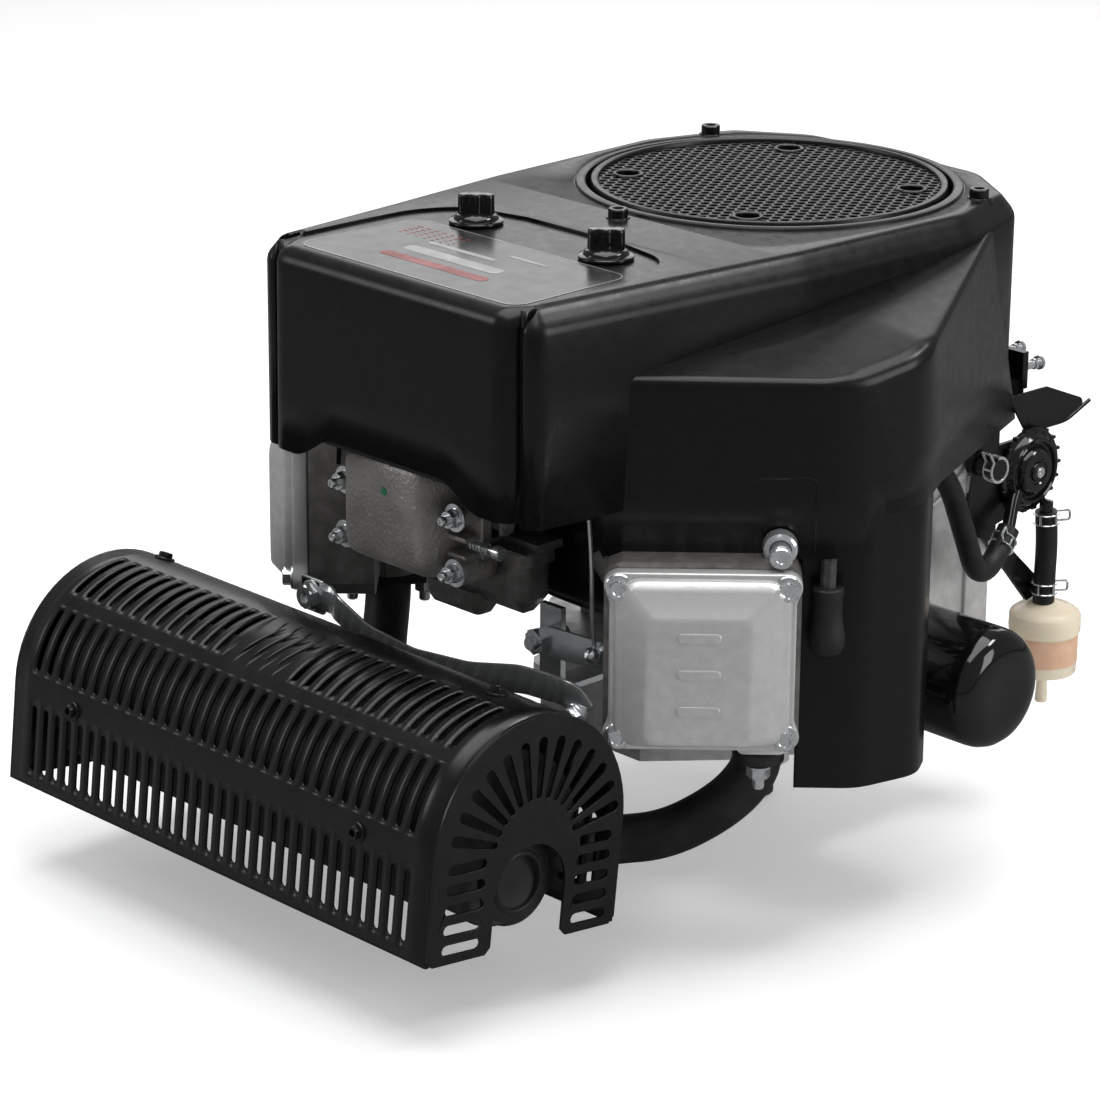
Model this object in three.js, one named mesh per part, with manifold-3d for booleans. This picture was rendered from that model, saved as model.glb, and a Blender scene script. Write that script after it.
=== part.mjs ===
// Small vertical-shaft V-twin petrol engine, in millimetres, +Z up.
// The two cylinders stand at 45 degrees on either side of -Y, the front, where the silencer hangs.
// Heights in this file are measured from a drawing datum; the mounting face is MOUNT_FACE above it,
// and the finished group is lowered by that much, so that the crank axis meets the mounting face at 0,0,0.
import * as THREE from 'three';
import { mergeVertices } from 'three/addons/utils/BufferGeometryUtils.js';
import { ConvexGeometry } from 'three/addons/geometries/ConvexGeometry.js';
import Module from 'manifold-3d';

const wasm = await Module();
wasm.setup();

// ---- Driving dimensions ------------------------------------------------------------------------
const MOUNT_FACE = 32;
const GAP = 0.3;
const TOP = 360;
const SCREEN_TOP = 365;
const SCREEN_R = 110;
const LIP_R = 122;

const BORE_R = 39;
const THROW = 33;
const ROD = 115;
const PISTON_CROWN = 30;
const PISTON_SKIRT = 20;
const DECK = 180;
const HEAD_TOP = 279;
const RIGHT_Z = 161;
const LEFT_Z = 183.5;
const COVER_OFFSET = 41.5;

const SPLIT = 86;
const CASE_TOP = 240;
const WEB_R = 58;
const JOURNAL_R = 17.5;
const SHAFT_R = 12.7;
const SHAFT_END = -43;
const CAM_Y = -84;
const CRANK_TEETH = 12;
const CAM_TEETH = 24;
const GEAR_MODULE = 56 / 12;

const FLYWHEEL_R = 108;
const RING_TEETH = 42;
const RING_TIP = 112.5;
const STARTER_R = 127.5;
const STARTER_ANGLE = 135;

const WALL = 3;
const SKIRT_Z = 235;
const GUARD_R = 73;
const GUARD_HEIGHT = 136.6;
const GUARD_LEFT = -236;
const GUARD_RIGHT = 147;
const GUARD_FRONT = -419;
const GUARD_LOW = 12.7;
const GUARD_TILT = 6.2;
const OUTLET_Y = 75.5;
const OUTLET_R = 27.5;
const SHEET = 2;

// ---- Solids from three.js geometry -------------------------------------------------------------
const rad = THREE.MathUtils.degToRad;
const sin = (degrees) => Math.sin(rad(degrees));
const cos = (degrees) => Math.cos(rad(degrees));
const mirror = (points) => points.map(([x, y, ...rest]) => [-x, y, ...rest]);

function toSolid(geometry) {
  const bare = new THREE.BufferGeometry();
  bare.setAttribute('position', geometry.getAttribute('position').clone());
  if (geometry.index) bare.setIndex(geometry.index.clone());
  const merged = mergeVertices(bare, 1e-4);
  return new wasm.Manifold(new wasm.Mesh({
    numProp: 3,
    vertProperties: new Float32Array(merged.getAttribute('position').array),
    triVerts: new Uint32Array(merged.index.array),
  }));
}

function toGeometry(solid) {
  const mesh = solid.getMesh();
  const geometry = new THREE.BufferGeometry();
  geometry.setAttribute('position', new THREE.BufferAttribute(new Float32Array(mesh.vertProperties), 3));
  geometry.setIndex(new THREE.BufferAttribute(new Uint32Array(mesh.triVerts), 1));
  return geometry;
}

const join = (first, ...others) => toGeometry(others.reduce((sum, g) => sum.add(toSolid(g)), toSolid(first)));
const cut = (first, ...others) => toGeometry(
  others.reduce((rest, g) => rest.subtract(toSolid(g)), toSolid(first)),
);

const box = (x0, x1, y0, y1, z0, z1) => new THREE.BoxGeometry(x1 - x0, y1 - y0, z1 - z0)
  .translate((x0 + x1) / 2, (y0 + y1) / 2, (z0 + z1) / 2);

const post = (radius, z0, z1, x = 0, y = 0, sides = 16) => (
  new THREE.CylinderGeometry(radius, radius, z1 - z0, sides)
    .rotateX(Math.PI / 2).translate(x, y, (z0 + z1) / 2)
);

const alongX = (radius, x0, x1, y, z, sides = 16) => post(radius, x0, x1, 0, 0, sides)
  .rotateY(Math.PI / 2).translate(0, y, z);

const alongY = (radius, y0, y1, x, z, sides = 16) => post(radius, -y1, -y0, 0, 0, sides)
  .rotateX(Math.PI / 2).translate(x, 0, z);

function prism(points, z0, z1) {
  const shape = new THREE.Shape(points.map(([x, y]) => new THREE.Vector2(x, y)));
  return new THREE.ExtrudeGeometry(shape, { depth: z1 - z0, bevelEnabled: false }).translate(0, 0, z0);
}

const hull = (points) => new ConvexGeometry(points.map((p) => new THREE.Vector3(...p)));

// A turned piece about Z from closed [radius, z] profile points, listed anticlockwise.
const turned = (profile, sides = 24) => (
  new THREE.LatheGeometry(profile.map(([r, z]) => new THREE.Vector2(r, z)), sides).rotateX(Math.PI / 2)
);
const ringTurned = (profile, sides) => turned([...profile, profile[0]], sides);

function pipe(points, radius, steps = 16, sides = 12) {
  const route = new THREE.CatmullRomCurve3(points.map((p) => new THREE.Vector3(...p)), false, 'centripetal');
  const ring = new THREE.Shape().absarc(0, 0, radius, 0, 2 * Math.PI);
  return new THREE.ExtrudeGeometry(ring, { steps, curveSegments: sides / 2, extrudePath: route });
}

// A rounded rectangle outline centred on x, y.
function rounded(x, y, halfX, halfY, corner, arcs = 3) {
  const points = [];
  [[1, 1, 0], [-1, 1, 90], [-1, -1, 180], [1, -1, 270]].forEach(([sx, sy, start]) => {
    for (let i = 0; i <= arcs; i += 1) {
      const a = start + (90 * i) / arcs;
      points.push([x + sx * (halfX - corner) + corner * cos(a), y + sy * (halfY - corner) + corner * sin(a)]);
    }
  });
  return points;
}

// Toothed outline: teeth with straight flanks about the pitch circle, turned by `phase` of a tooth.
function toothed(teeth, root, tip, flank, phase = 0) {
  const points = [];
  const pitch = 360 / teeth;
  for (let i = 0; i < teeth; i += 1) {
    [[-0.5 + flank, root], [-0.1, tip], [0.1, tip], [0.5 - flank, root]].forEach(([t, r]) => {
      points.push([r * cos((i + t + phase) * pitch), r * sin((i + t + phase) * pitch)]);
    });
  }
  return points;
}

// Cylinder frames: x outwards along the cylinder, y across it, z up from the cylinder's centre height.
const SIDES = {
  right: { hand: 1, z: RIGHT_Z, angle: -45 },
  left: { hand: -1, z: LEFT_Z, angle: -135 },
};
const onCylinder = (geometry, side) => geometry.rotateZ(rad(side.angle)).translate(0, 0, side.z);
// Across the cylinder, positive towards the inside of the V.
const inner = (side, value) => -side.hand * value;
const acrossBox = (side, x0, x1, in0, in1, z0, z1) => {
  const [a, b] = [inner(side, in0), inner(side, in1)].sort((p, q) => p - q);
  return box(x0, x1, a, b, z0, z1);
};

// ---- Materials and naming ----------------------------------------------------------------------
const FINISH = {
  moulding: [0x17181a, 0.35, 0],
  blackMetal: [0x141414, 0.4, 0.3],
  casting: [0x8e8a84, 0.6, 0.7],
  darkCasting: [0x5d5751, 0.6, 0.6],
  brightCasting: [0xb9b9b6, 0.45, 0.8],
  steel: [0xb5b5b0, 0.35, 0.9],
  iron: [0x5f6062, 0.55, 0.8],
  rubber: [0x1b1b1b, 0.7, 0],
  lead: [0x6b6b69, 0.8, 0],
  gasket: [0x3a3835, 0.9, 0],
  filterPaper: [0xd8cfae, 0.9, 0],
  clearPlastic: [0xe9dcc2, 0.3, 0],
  glossBlack: [0x0b0b0c, 0.15, 0.2],
  ceramic: [0xf0efe9, 0.3, 0],
};

const engine = new THREE.Group();
engine.position.z = -MOUNT_FACE;

function add(name, geometry, finish) {
  const [color, roughness, metalness] = FINISH[finish];
  const mesh = new THREE.Mesh(geometry, new THREE.MeshStandardMaterial({ color, roughness, metalness }));
  mesh.name = name;
  engine.add(mesh);
}

// ---- Crankcase and sump ------------------------------------------------------------------------
const CASE = [[120, -40], [120, 82], [96, 106], [-14, 106], [-105, 15], [-105, -40], [-48, -112], [48, -112]];
const SUMP = [[120, -40], [120, 82], [96, 106], [-14, 106], [-105, 15], [-105, -40], [-78, -110], [-44, -150],
  [44, -150], [78, -110]];
const FILTER_Y = -18;
const FILTER_Z = 92;

function crankcase() {
  const parts = [prism(SUMP, SPLIT, SPLIT + 10), prism(CASE, SPLIT, CASE_TOP)];
  const hollows = [
    post(75, SPLIT - 1, CASE_TOP - 12, 0, 0, 28),
    post(22, SPLIT - 1, CASE_TOP - 12, 0, CAM_Y),
    box(-20, 20, CAM_Y, 0, SPLIT - 1, CASE_TOP - 12),
    post(JOURNAL_R + 2 * GAP, CASE_TOP - 14, CASE_TOP + 1),
  ];
  Object.values(SIDES).forEach((side) => {
    parts.push(onCylinder(alongX(BORE_R + 9, 60, DECK, 0, 0, 16), side));
    for (let k = 0; k < 3; k += 1) {
      const x = 126 + 18 * k;
      const fin = prism(rounded(0, inner(side, 8), 56, 54, 14, 1), x, x + 4).rotateY(Math.PI / 2);
      parts.push(onCylinder(fin, side));
    }
    hollows.push(onCylinder(alongX(BORE_R, 50, DECK + 1, 0, 0, 28), side));
  });
  parts.push(alongX(28, 120 + GAP, 130, FILTER_Y, FILTER_Z));
  parts.push(box(118, 130, FILTER_Y - 16, FILTER_Y + 16, SPLIT + 6, FILTER_Z + 24));
  parts.push(box(113, 118, -34, -24, CASE_TOP - 4, 262.7));
  return cut(join(...parts), ...hollows);
}

function sump() {
  const lugs = [45, 135, 225, 315].map((a) => (
    post(17, MOUNT_FACE, MOUNT_FACE + 14, 127 * cos(a), 127 * sin(a), 12)
  ));
  const holes = [45, 135, 225, 315].map((a) => post(5, 0, 60, 127 * cos(a), 127 * sin(a), 8));
  const disc = post(116, MOUNT_FACE, MOUNT_FACE + 12, 0, 0, 32);
  const body = join(prism(SUMP, MOUNT_FACE, SPLIT - GAP), disc, ...lugs);
  return cut(
    body,
    post(75, 46, SPLIT + 1, 0, 0, 28),
    post(63, 52, SPLIT + 1, 0, CAM_Y, 24),
    post(JOURNAL_R + 2 * GAP, 0, 60),
    ...holes,
  );
}

// ---- Crank, timing gear and camshaft -----------------------------------------------------------
const CRANK_PITCH_R = (CRANK_TEETH * GEAR_MODULE) / 2;
const CAM_PITCH_R = (CAM_TEETH * GEAR_MODULE) / 2;

const crankLower = () => cut(
  turned([
    [0, SHAFT_END], [SHAFT_R - 1, SHAFT_END], [SHAFT_R, SHAFT_END + 1], [SHAFT_R, MOUNT_FACE - 4],
    [JOURNAL_R, MOUNT_FACE], [JOURNAL_R, 76], [21, 76], [21, 128], [WEB_R, 128], [WEB_R, 142], [0, 142],
  ]),
  box(-3.2, 3.2, SHAFT_R - 3, SHAFT_R + 2, SHAFT_END - 1, MOUNT_FACE - 20),
);

const crankUpper = () => turned([
  [0, 203], [WEB_R, 203], [WEB_R, 216], [21, 216], [21, 225], [JOURNAL_R, 226], [JOURNAL_R, 247], [14, 250],
  [14, 276], [9, 277], [9, 300], [0, 300],
]);

const crankGear = () => cut(
  prism(toothed(CRANK_TEETH, CRANK_PITCH_R - 4.4, CRANK_PITCH_R + 3.2, 0.13), 61, 73),
  post(JOURNAL_R + GAP, 60, 74, 0, 0, 24),
);

// Pairs of cams for the two cylinders, each lobe opposite its follower's rest.
function camshaft() {
  const lobes = [[106, 40], [118, 150], [178, 220], [190, 310]].map(([z, a]) => hull([0, 1].flatMap((top) => {
    const ring = [];
    for (let i = 0; i < 8; i += 1) {
      ring.push([11 * cos(45 * i), 11 * sin(45 * i), z + 9 * top]);
      ring.push([9 * cos(a) + 7 * cos(45 * i), 9 * sin(a) + 7 * sin(45 * i), z + 9 * top]);
    }
    return ring;
  })));
  const teeth = toothed(CAM_TEETH, CAM_PITCH_R - 4.4, CAM_PITCH_R + 3.2, 0.13, 0.5);
  const gear = prism(teeth.map(([x, y]) => [-y, x]), 61, 73);
  return join(post(9, 53, 227, 0, 0, 12), gear, post(20, 73, 80), ...lobes).translate(0, CAM_Y, 0);
}

// ---- Pistons and connecting rods, at the pose where the crankpin is at the front ----------------
const PIN_ACROSS = THROW * Math.SQRT1_2;
const PIN_ALONG = THROW * Math.SQRT1_2;
const WRIST = PIN_ALONG + Math.sqrt(ROD * ROD - PIN_ACROSS * PIN_ACROSS);

const piston = (side) => onCylinder(join(
  ringTurned([
    [0.01, 22], [33, 22], [33, -PISTON_SKIRT], [BORE_R - 0.4, -PISTON_SKIRT], [BORE_R - 0.4, PISTON_CROWN],
    [0.01, PISTON_CROWN],
  ], 24).rotateY(Math.PI / 2),
  post(10, -35, 35, 0, 0, 20),
).translate(WRIST, 0, 0), side);

function rod(side) {
  const stub = side.hand > 0 ? [-18, 9] : [-10, 19];
  const across = inner(side, PIN_ACROSS);
  const lean = Math.atan2(-across, WRIST - PIN_ALONG);
  const shank = box(20, ROD - 12, -7, 7, -5, 5).rotateZ(lean).translate(PIN_ALONG, across, 0);
  const big = post(25, -9, 9, PIN_ALONG, across, 20);
  const small = post(15, -9, 9, WRIST, 0);
  const pin = post(17, ...stub, PIN_ALONG, across, 20);
  return onCylinder(cut(join(big, shank, small, pin), post(10 + GAP, -10, 10, WRIST, 0, 20)), side);
}

// ---- Heads, gaskets, valve covers, plugs and leads ---------------------------------------------
const PLUG_ACROSS = -30;
const PORT_ACROSS = 77;
const SHROUD_FACE = 246;

const headGasket = (side) => onCylinder(cut(
  prism(rounded(0, 0, 54, 56, 14, 2), DECK + GAP, DECK + 1.5).rotateY(Math.PI / 2),
  alongX(BORE_R + 1, DECK - 1, DECK + 3, 0, 0, 24),
), side);

function cylinderHead(side) {
  const parts = [
    acrossBox(side, DECK + 1.8, 241, -44, 60, -46, 44),
    prism(rounded(0, inner(side, COVER_OFFSET), 56.5, 56, 10, 2), 239, HEAD_TOP)
      .rotateY(Math.PI / 2).translate(0, 0, -6.5),
    alongX(20, 190, 242, inner(side, PLUG_ACROSS), 0),
  ];
  for (let k = -2; k <= 2; k += 1) {
    parts.push(acrossBox(side, 186, 240, -50, 66, 20 * k - 2.5, 20 * k + 2.5));
  }
  parts.push(post(24, -72, -40, 236, inner(side, 7)));
  parts.push(box(-18, 18, -13, 13, -20, 20).translate(206, inner(side, PORT_ACROSS - 13), 16));
  const hollows = [
    alongX(BORE_R, DECK, DECK + 12, 0, 0, 24),
    acrossBox(side, 258, HEAD_TOP + 1, -6, 88, -54, 40),
    post(14, -73, -12, 236, inner(side, 7)),
    alongX(13, DECK, 236, inner(side, 7), -18),
    alongX(13, DECK, 214, inner(side, 16), 16),
    acrossBox(side, 196, 216, 16, 90, 6, 26),
    alongX(7.3, DECK, 250, inner(side, PLUG_ACROSS), 0, 16),
    alongX(12, 230, 250, inner(side, PLUG_ACROSS), 0, 16),
  ];
  return onCylinder(cut(join(...parts), ...hollows), side);
}

function valveCover(side) {
  const across = inner(side, COVER_OFFSET);
  const flange = prism(rounded(0, 0, 56.5, 56, 12, 2), HEAD_TOP + GAP + 1, 294)
    .rotateY(Math.PI / 2).translate(0, 0, -6.5);
  const dome = hull([[294, 46, 43], [305, 42, 41], [311, 29, 37]].flatMap(([x, y, z]) => [
    [x, y, z - 6.5], [x, -y, z - 6.5], [x, -y, -z - 6.5], [x, y, -z - 6.5],
  ]).concat([[290, 46, 36.5], [290, -46, 36.5], [290, -46, -49.5], [290, 46, -49.5]]));
  const pocket = hull([[HEAD_TOP, 40, 37], [300, 38, 35], [307, 26, 32]].flatMap(([x, y, z]) => [
    [x, y, z - 6.5], [x, -y, z - 6.5], [x, -y, -z - 6.5], [x, y, -z - 6.5],
  ]));
  const holes = [[1, 1], [1, -1], [-1, 1], [-1, -1]].map(([sy, sz]) => (
    alongX(3.4, 270, 300, 47.6 * sy, 44.9 * sz, 12)));
  return onCylinder(cut(join(flange, dome), pocket, ...holes).translate(0, across, 0), side);
}

const sparkPlug = (side) => onCylinder(join(
  alongX(7, DECK + 8, 234, 0, 0, 16),
  alongX(10.5, 232, 243, 0, 0, 6),
  alongX(5.5, 242, 260, 0, 0, 12),
).translate(0, inner(side, PLUG_ACROSS), 0), side);

function sparkLead(side) {
  const across = inner(side, PLUG_ACROSS);
  const boot = cut(
    join(alongX(11, 244, 264, across, 0), post(11, -11, 22, 258, across), post(8.5, 20, 30, 258, across, 12)),
    alongX(6, 240, 260.5, across, 0, 12),
  );
  const cord = pipe([
    [258, across, 26], [254, across, 44], [252, across, 60], [250, across + 3 * side.hand, 78],
    [236, across + 9 * side.hand, 98 + (RIGHT_Z - side.z) / 2],
  ], 4, 8, 6);
  return onCylinder(join(boot, cord), side);
}

// ---- Flywheel group ----------------------------------------------------------------------------
const flywheel = () => ringTurned([
  [14 + GAP, 250.3], [32, 250.3], [32, 264], [95, 264], [95, 247], [FLYWHEEL_R, 247], [FLYWHEEL_R, 284],
  [92, 284], [92, 274], [14 + GAP, 274],
]);

const ringGear = () => cut(
  prism(toothed(RING_TEETH, RING_TIP - 3, RING_TIP, 0.1), 247, 257),
  post(FLYWHEEL_R + GAP, 246, 258, 0, 0, RING_TEETH),
);

function coolingFan() {
  const parts = [cut(post(106, 284 + GAP, 288, 0, 0, 32), post(40, 280, 290))];
  for (let i = 0; i < 12; i += 1) {
    const blade = new THREE.Shape();
    blade.absarc(0, -60, 112, rad(62), rad(90), false);
    blade.absarc(0, -60, 109.5, rad(90), rad(62), true);
    parts.push(new THREE.ExtrudeGeometry(blade, { depth: 43, curveSegments: 2, bevelEnabled: false })
      .translate(50, 0, 287).rotateZ(30 * rad(i)));
  }
  return join(...parts);
}

function debrisScreen() {
  const plate = ringTurned([
    [0.01, SCREEN_TOP - 4], [SCREEN_R - 4, SCREEN_TOP - 4], [SCREEN_R - 4, 347], [SCREEN_R, 347],
    [SCREEN_R, SCREEN_TOP - 1], [SCREEN_R - 1, SCREEN_TOP], [0.01, SCREEN_TOP],
  ], 36);
  const posts = [];
  const holes = [];
  for (let i = 0; i < 4; i += 1) {
    const x = 88.3 * cos(35 + 90 * i);
    const y = 88.3 * sin(35 + 90 * i);
    posts.push(post(11, 330.3, SCREEN_TOP - 2, x, y, 10));
    holes.push(post(8.6, 338, SCREEN_TOP + 1, x, y, 10));
    holes.push(post(3.2, 329, 340, x, y, 6));
  }
  return cut(join(plate, ...posts), ...holes);
}

const stator = () => ringTurned([[36, CASE_TOP + GAP], [62, CASE_TOP + GAP], [62, 258], [36, 258]], 36);

// Ignition coil beside the rim: a laminated U core with a moulded winding.
function ignitionCoil(hand) {
  const legs = [-20, 10].map((y) => box(109, 124, y, y + 10, 263, 282));
  const core = join(box(118, 126, -20, 20, 263, 282), ...legs);
  const coil = join(core, box(124, 152, -15, 15, 258, 288)).rotateZ(rad(-15));
  return hand > 0 ? coil : coil.clone().rotateZ(rad(-150));
}

// ---- Blower housing ----------------------------------------------------------------------------
const PLAN = [[114, -308], [119, -257], [124, -204], [134, -112], [140, 27], [120, 91], [73, 122], [0, 126]];
const BULGE = [
  [112, -252, 313], [213, -157, 315], [225, -104, 326], [142, 42, 347],
  [100, -200, 326], [60, -190, 318], [90, 60, 340],
  [113, -257, SKIRT_Z], [213, -157, SKIRT_Z], [225, -104, SKIRT_Z], [126, 90, SKIRT_Z], [60, 90, SKIRT_Z],
  [60, -190, SKIRT_Z],
];
const closedPlan = (points) => [...points, ...mirror(points).reverse().filter(([x]) => x !== 0)];
const SEAM = closedPlan([[104.3, -340], [104.2, -250], [102, -204], [85, -175], [40, -166]]);
const BOSSES = [-90, 30, 150];

// Moves plan points inwards by about `by`, towards a middle line at height `midY` of half-width `midX`.
const inset = (points, by, drop = 0, midX = 40, midY = -60) => points.map(([x, y, z = 0]) => {
  const [px, py] = [x - midX * Math.sign(x), y - midY];
  const k = 1 - by / Math.hypot(px, py, 20);
  return [midX * Math.sign(x) + px * k, midY + py * k, z > SKIRT_Z ? z - drop : z - (drop ? 2 : 0)];
});

function tapered(points, z0, z1, z2, by, midY = -60) {
  const low = points.map(([x, y]) => [x, y, z0]);
  const mid = points.map(([x, y]) => [x, y, z1]);
  const high = inset(points, by, 0, 40, midY).map(([x, y]) => [x, y, z2]);
  return hull([...low, ...mid, ...high]);
}

function blowerHousing() {
  const plan = closedPlan(PLAN);
  const planIn = closedPlan(inset(PLAN, WALL));
  const bulgeIn = inset(BULGE, WALL + 1, WALL);
  const shell = join(
    tapered(plan, SKIRT_Z, TOP - 10, TOP, 8),
    hull(BULGE),
    hull(mirror(BULGE)),
    onCylinder(box(258, 262, -100, 14, 214 - RIGHT_Z, 240 - RIGHT_Z), SIDES.right),
    ringTurned([
      [LIP_R - 9, TOP - 12], [LIP_R, TOP - 12], [LIP_R, TOP + 1], [LIP_R - 2, TOP + 3], [LIP_R - 9, TOP + 3],
    ], 36),
    ...BOSSES.map((a) => post(7, TOP - 12, TOP + 8, 131 * cos(a), 131 * sin(a), 12)),
  );
  const partition = box(-118, 118, -140, -136.5, 252, TOP - 1);
  const hollow = join(
    tapered(planIn, SKIRT_Z - 2, TOP - 10 - WALL, TOP - WALL, 8),
    hull(bulgeIn),
    hull(mirror(bulgeIn)),
  );
  const bosses = BOSSES.map((a) => post(7, TOP - 5, TOP + 8, 131 * cos(a), 131 * sin(a), 12));
  return cut(
    join(cut(shell, cut(hollow, partition)), ...bosses),
    post(LIP_R - 9, 300, TOP + 10, 0, 0, 36),
    prism(SEAM, 239, TOP + 10),
    box(-104, 104, -340, -290, 200, TOP + 10),
    post(20, 230, 268, STARTER_R * cos(STARTER_ANGLE), STARTER_R * sin(STARTER_ANGLE)),
    box(60, 110, 90, 110, 230, CASE_TOP + GAP),
  );
}

// Sheet shroud beside a cylinder: a front face, a turned face and a short return, in plan.
function shroud(side, z0, z1) {
  const face = SHROUD_FACE;
  const outer = [[face, -20], [face, -52], [face - 22, -86], [204, -90]];
  const innerLine = [[204, -87.5], [face - 24, -83.5], [face - 2.5, -50.5], [face - 2.5, -20]];
  const outline = [...outer, ...innerLine].map(([x, y]) => [x, inner(side, y)]);
  const ordered = side.hand > 0 ? outline : outline.slice().reverse();
  return onCylinder(cut(
    prism(ordered, z0 - side.z, z1 - side.z),
    alongX(14, 240, 262, inner(side, PLUG_ACROSS), 0, 16),
  ), side);
}

// ---- Air cleaner -------------------------------------------------------------------------------
const STUDS_X = 55;
const STUDS_Y = -195;
const COVER_PLAN = [[97.5, -318], [103.3, -306], [103.2, -250], [101, -205], [84.2, -176.2], [39.6, -167.2]];

function airCleanerBase() {
  const tray = cut(
    prism(closedPlan([[92, -298], [92, -160], [70, -150]]), 240, 252),
    prism(closedPlan([[88, -294], [88, -164], [68, -154]]), 243, 260),
  );
  const studs = [-1, 1].map((s) => post(4, 241, 366, s * STUDS_X, STUDS_Y, 12));
  const seats = [-1, 1].map((s) => post(9, 241, 262, s * STUDS_X, STUDS_Y, 16));
  const feet = [-1, 1].map((s) => box(s * 92 - 8, s * 92 + 8, -240, -210, 240, 246));
  return cut(join(tray, ...studs, ...seats, ...feet), box(-56, -10, -286, -262, 230, 260));
}

const airFilter = () => cut(
  prism(rounded(0, -252, 84, 36, 12, 2), 252.3, 332),
  prism(rounded(0, -252, 60, 17, 8, 2), 240, 340),
);

function airCleanerCover() {
  const plan = closedPlan(COVER_PLAN);
  const planIn = closedPlan([[93.5, -314], [99.3, -303], [99.2, -250], [97, -205], [82, -180], [39, -171.2]]);
  const top = tapered(plan, 316, TOP - 8, TOP, 7, -230);
  const edge = [[97.5, -318, TOP - 8], [103.3, -304, TOP - 8], [103.3, -302, 252], [97.5, -318, 252]];
  const front = hull([...edge, ...mirror(edge)]);
  const apron = [
    [103.3, -304, 262], [103.3, -304, 237], [80, -318, 237], [50, -318, 252], [97.5, -318, 262],
    [50, -304, 252], [80, -304, 237], [50, -304, 262], [50, -318, 262], [98.5, -317, 237],
  ];
  return cut(
    join(top, front, hull(apron), hull(mirror(apron))),
    tapered(planIn, 200, TOP - 8 - WALL, TOP - WALL, 7, -230),
    ...[-1, 1].map((s) => post(6, 340, TOP + 1, s * STUDS_X, STUDS_Y, 16)),
  );
}

// A stepped flange under a flat bar of a grip.
const KNOB_TOP = 378;
const KNOB_REACH = 12;

function knob(side) {
  const grip = prism(rounded(0, 0, KNOB_REACH, 5.2, 3, 2), TOP + 6, KNOB_TOP).rotateZ(rad(46));
  return cut(
    join(
      turned([[0, TOP + 0.4], [16.5, TOP + 0.4], [16.5, TOP + 3], [12, TOP + 7], [0, TOP + 7]], 20),
      grip,
    ),
    post(4 + GAP, TOP - 5, 367, 0, 0, 12),
  ).translate(side * STUDS_X, STUDS_Y, 0);
}

// ---- Induction ---------------------------------------------------------------------------------
const CARB_X = -33;
const CARB_Z = 201;
const THROTTLE_Y = -221;
const CHOKE_Y = -246.5;

function intakeElbow() {
  const body = hull([
    [4, -284, 236], [-69, -284, 239.5], [-69, -284, 172], [-2, -284, 168],
    [-64, -290, 234], [-4, -290, 232], [-64, -290, 177], [-8, -290, 173],
    [6, -262, 236], [-72, -262, 239.5], [-72, -262, 170], [4, -262, 168],
  ]);
  const flange = prism(rounded(CARB_X, 0, 56, 27, 9, 2), 0, 7)
    .rotateX(Math.PI / 2).translate(0, -255.3, CARB_Z - 6);
  const ears = [-80, 17].flatMap((x) => [178, 212].map((z) => alongY(8, -280, -256, x, z, 10)));
  return cut(
    join(body, flange, ...ears),
    box(-62, -4, -284, -262, CARB_Z - 16, 242),
    alongY(15, -270, -250, CARB_X, CARB_Z, 20),
  );
}

function carburettor() {
  const body = join(
    box(CARB_X - 26, CARB_X + 30, -255, -219, 188, CARB_Z + 20),
    prism(rounded(CARB_X, 0, 56, 27, 9, 2), 0, 5).rotateX(Math.PI / 2).translate(0, -250, CARB_Z - 6),
    box(CARB_X - 30, CARB_X + 30, -219.2, -215, CARB_Z - 20, CARB_Z + 20),
    box(-58, 46, -249.5, -219, 188, 193),
  );
  return cut(
    body,
    alongY(13, -260, -210, CARB_X, CARB_Z, 20),
    alongX(3.8, -90, 40, THROTTLE_Y, CARB_Z, 16),
    alongX(3.8, -90, 40, CHOKE_Y, CARB_Z, 16),
    box(18, 60, -256, -240, CARB_Z - 12, CARB_Z + 24),
  );
}

const floatBowl = () => cut(
  hull([
    ...rounded(-6, -234.6, 52, 14.8, 10, 2).map(([x, y]) => [x, y, 187.7]),
    ...rounded(-6, -234.6, 50, 14.2, 10, 2).map(([x, y]) => [x, y, 158]),
    ...rounded(-22, -234.6, 28, 12, 8, 2).map(([x, y]) => [x, y, 136]),
  ]),
  prism(rounded(-6, -234.6, 47, 11, 8, 1), 162, 190),
);

// A butterfly disc on its shaft across the bore, with an operating arm outside the body.
const butterfly = (y, armX) => join(
  alongX(3.4, -66, armX + 2.5, y, CARB_Z, 14),
  alongY(12, y - 0.8, y + 0.8, CARB_X, CARB_Z, 20),
  box(armX, armX + 2.5, y - 5, y + 5, CARB_Z - 4, CARB_Z + 22),
);

function manifold() {
  const face = box(-62, -4, -214.7, -209, CARB_Z - 20, CARB_Z + 20);
  const plenum = join(face, box(-54, 26, -212, -166, CARB_Z - 15, CARB_Z + 15));
  const arms = Object.values(SIDES).map((side) => {
    const s = side.hand;
    const z = side.z + 16;
    const [x, y] = [(206 - PORT_ACROSS - GAP) * Math.SQRT1_2, -(206 + PORT_ACROSS + GAP) * Math.SQRT1_2];
    return pipe([[s * 6 - 8, -186, CARB_Z], [s * 40, -189, CARB_Z], [s * 62, -199, (z + CARB_Z) / 2],
      [s * (x - 11), y - 11, z], [s * x, y, z]], 11, 8, 8);
  });
  return cut(
    join(plenum, ...arms),
    alongY(14, -216, -180, CARB_X, CARB_Z, 20),
    box(-46, 18, -204, -174, CARB_Z - 9, CARB_Z + 9),
  );
}

// ---- Governor lever and its upright link -------------------------------------------------------
const GOVERNOR = { x: 39, z: 130 };
const LEVER = [[29, 134], [29, 122], [46, 141], [92, 143], [97, 138], [97, 128], [90, 126], [46, 122]];

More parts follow.
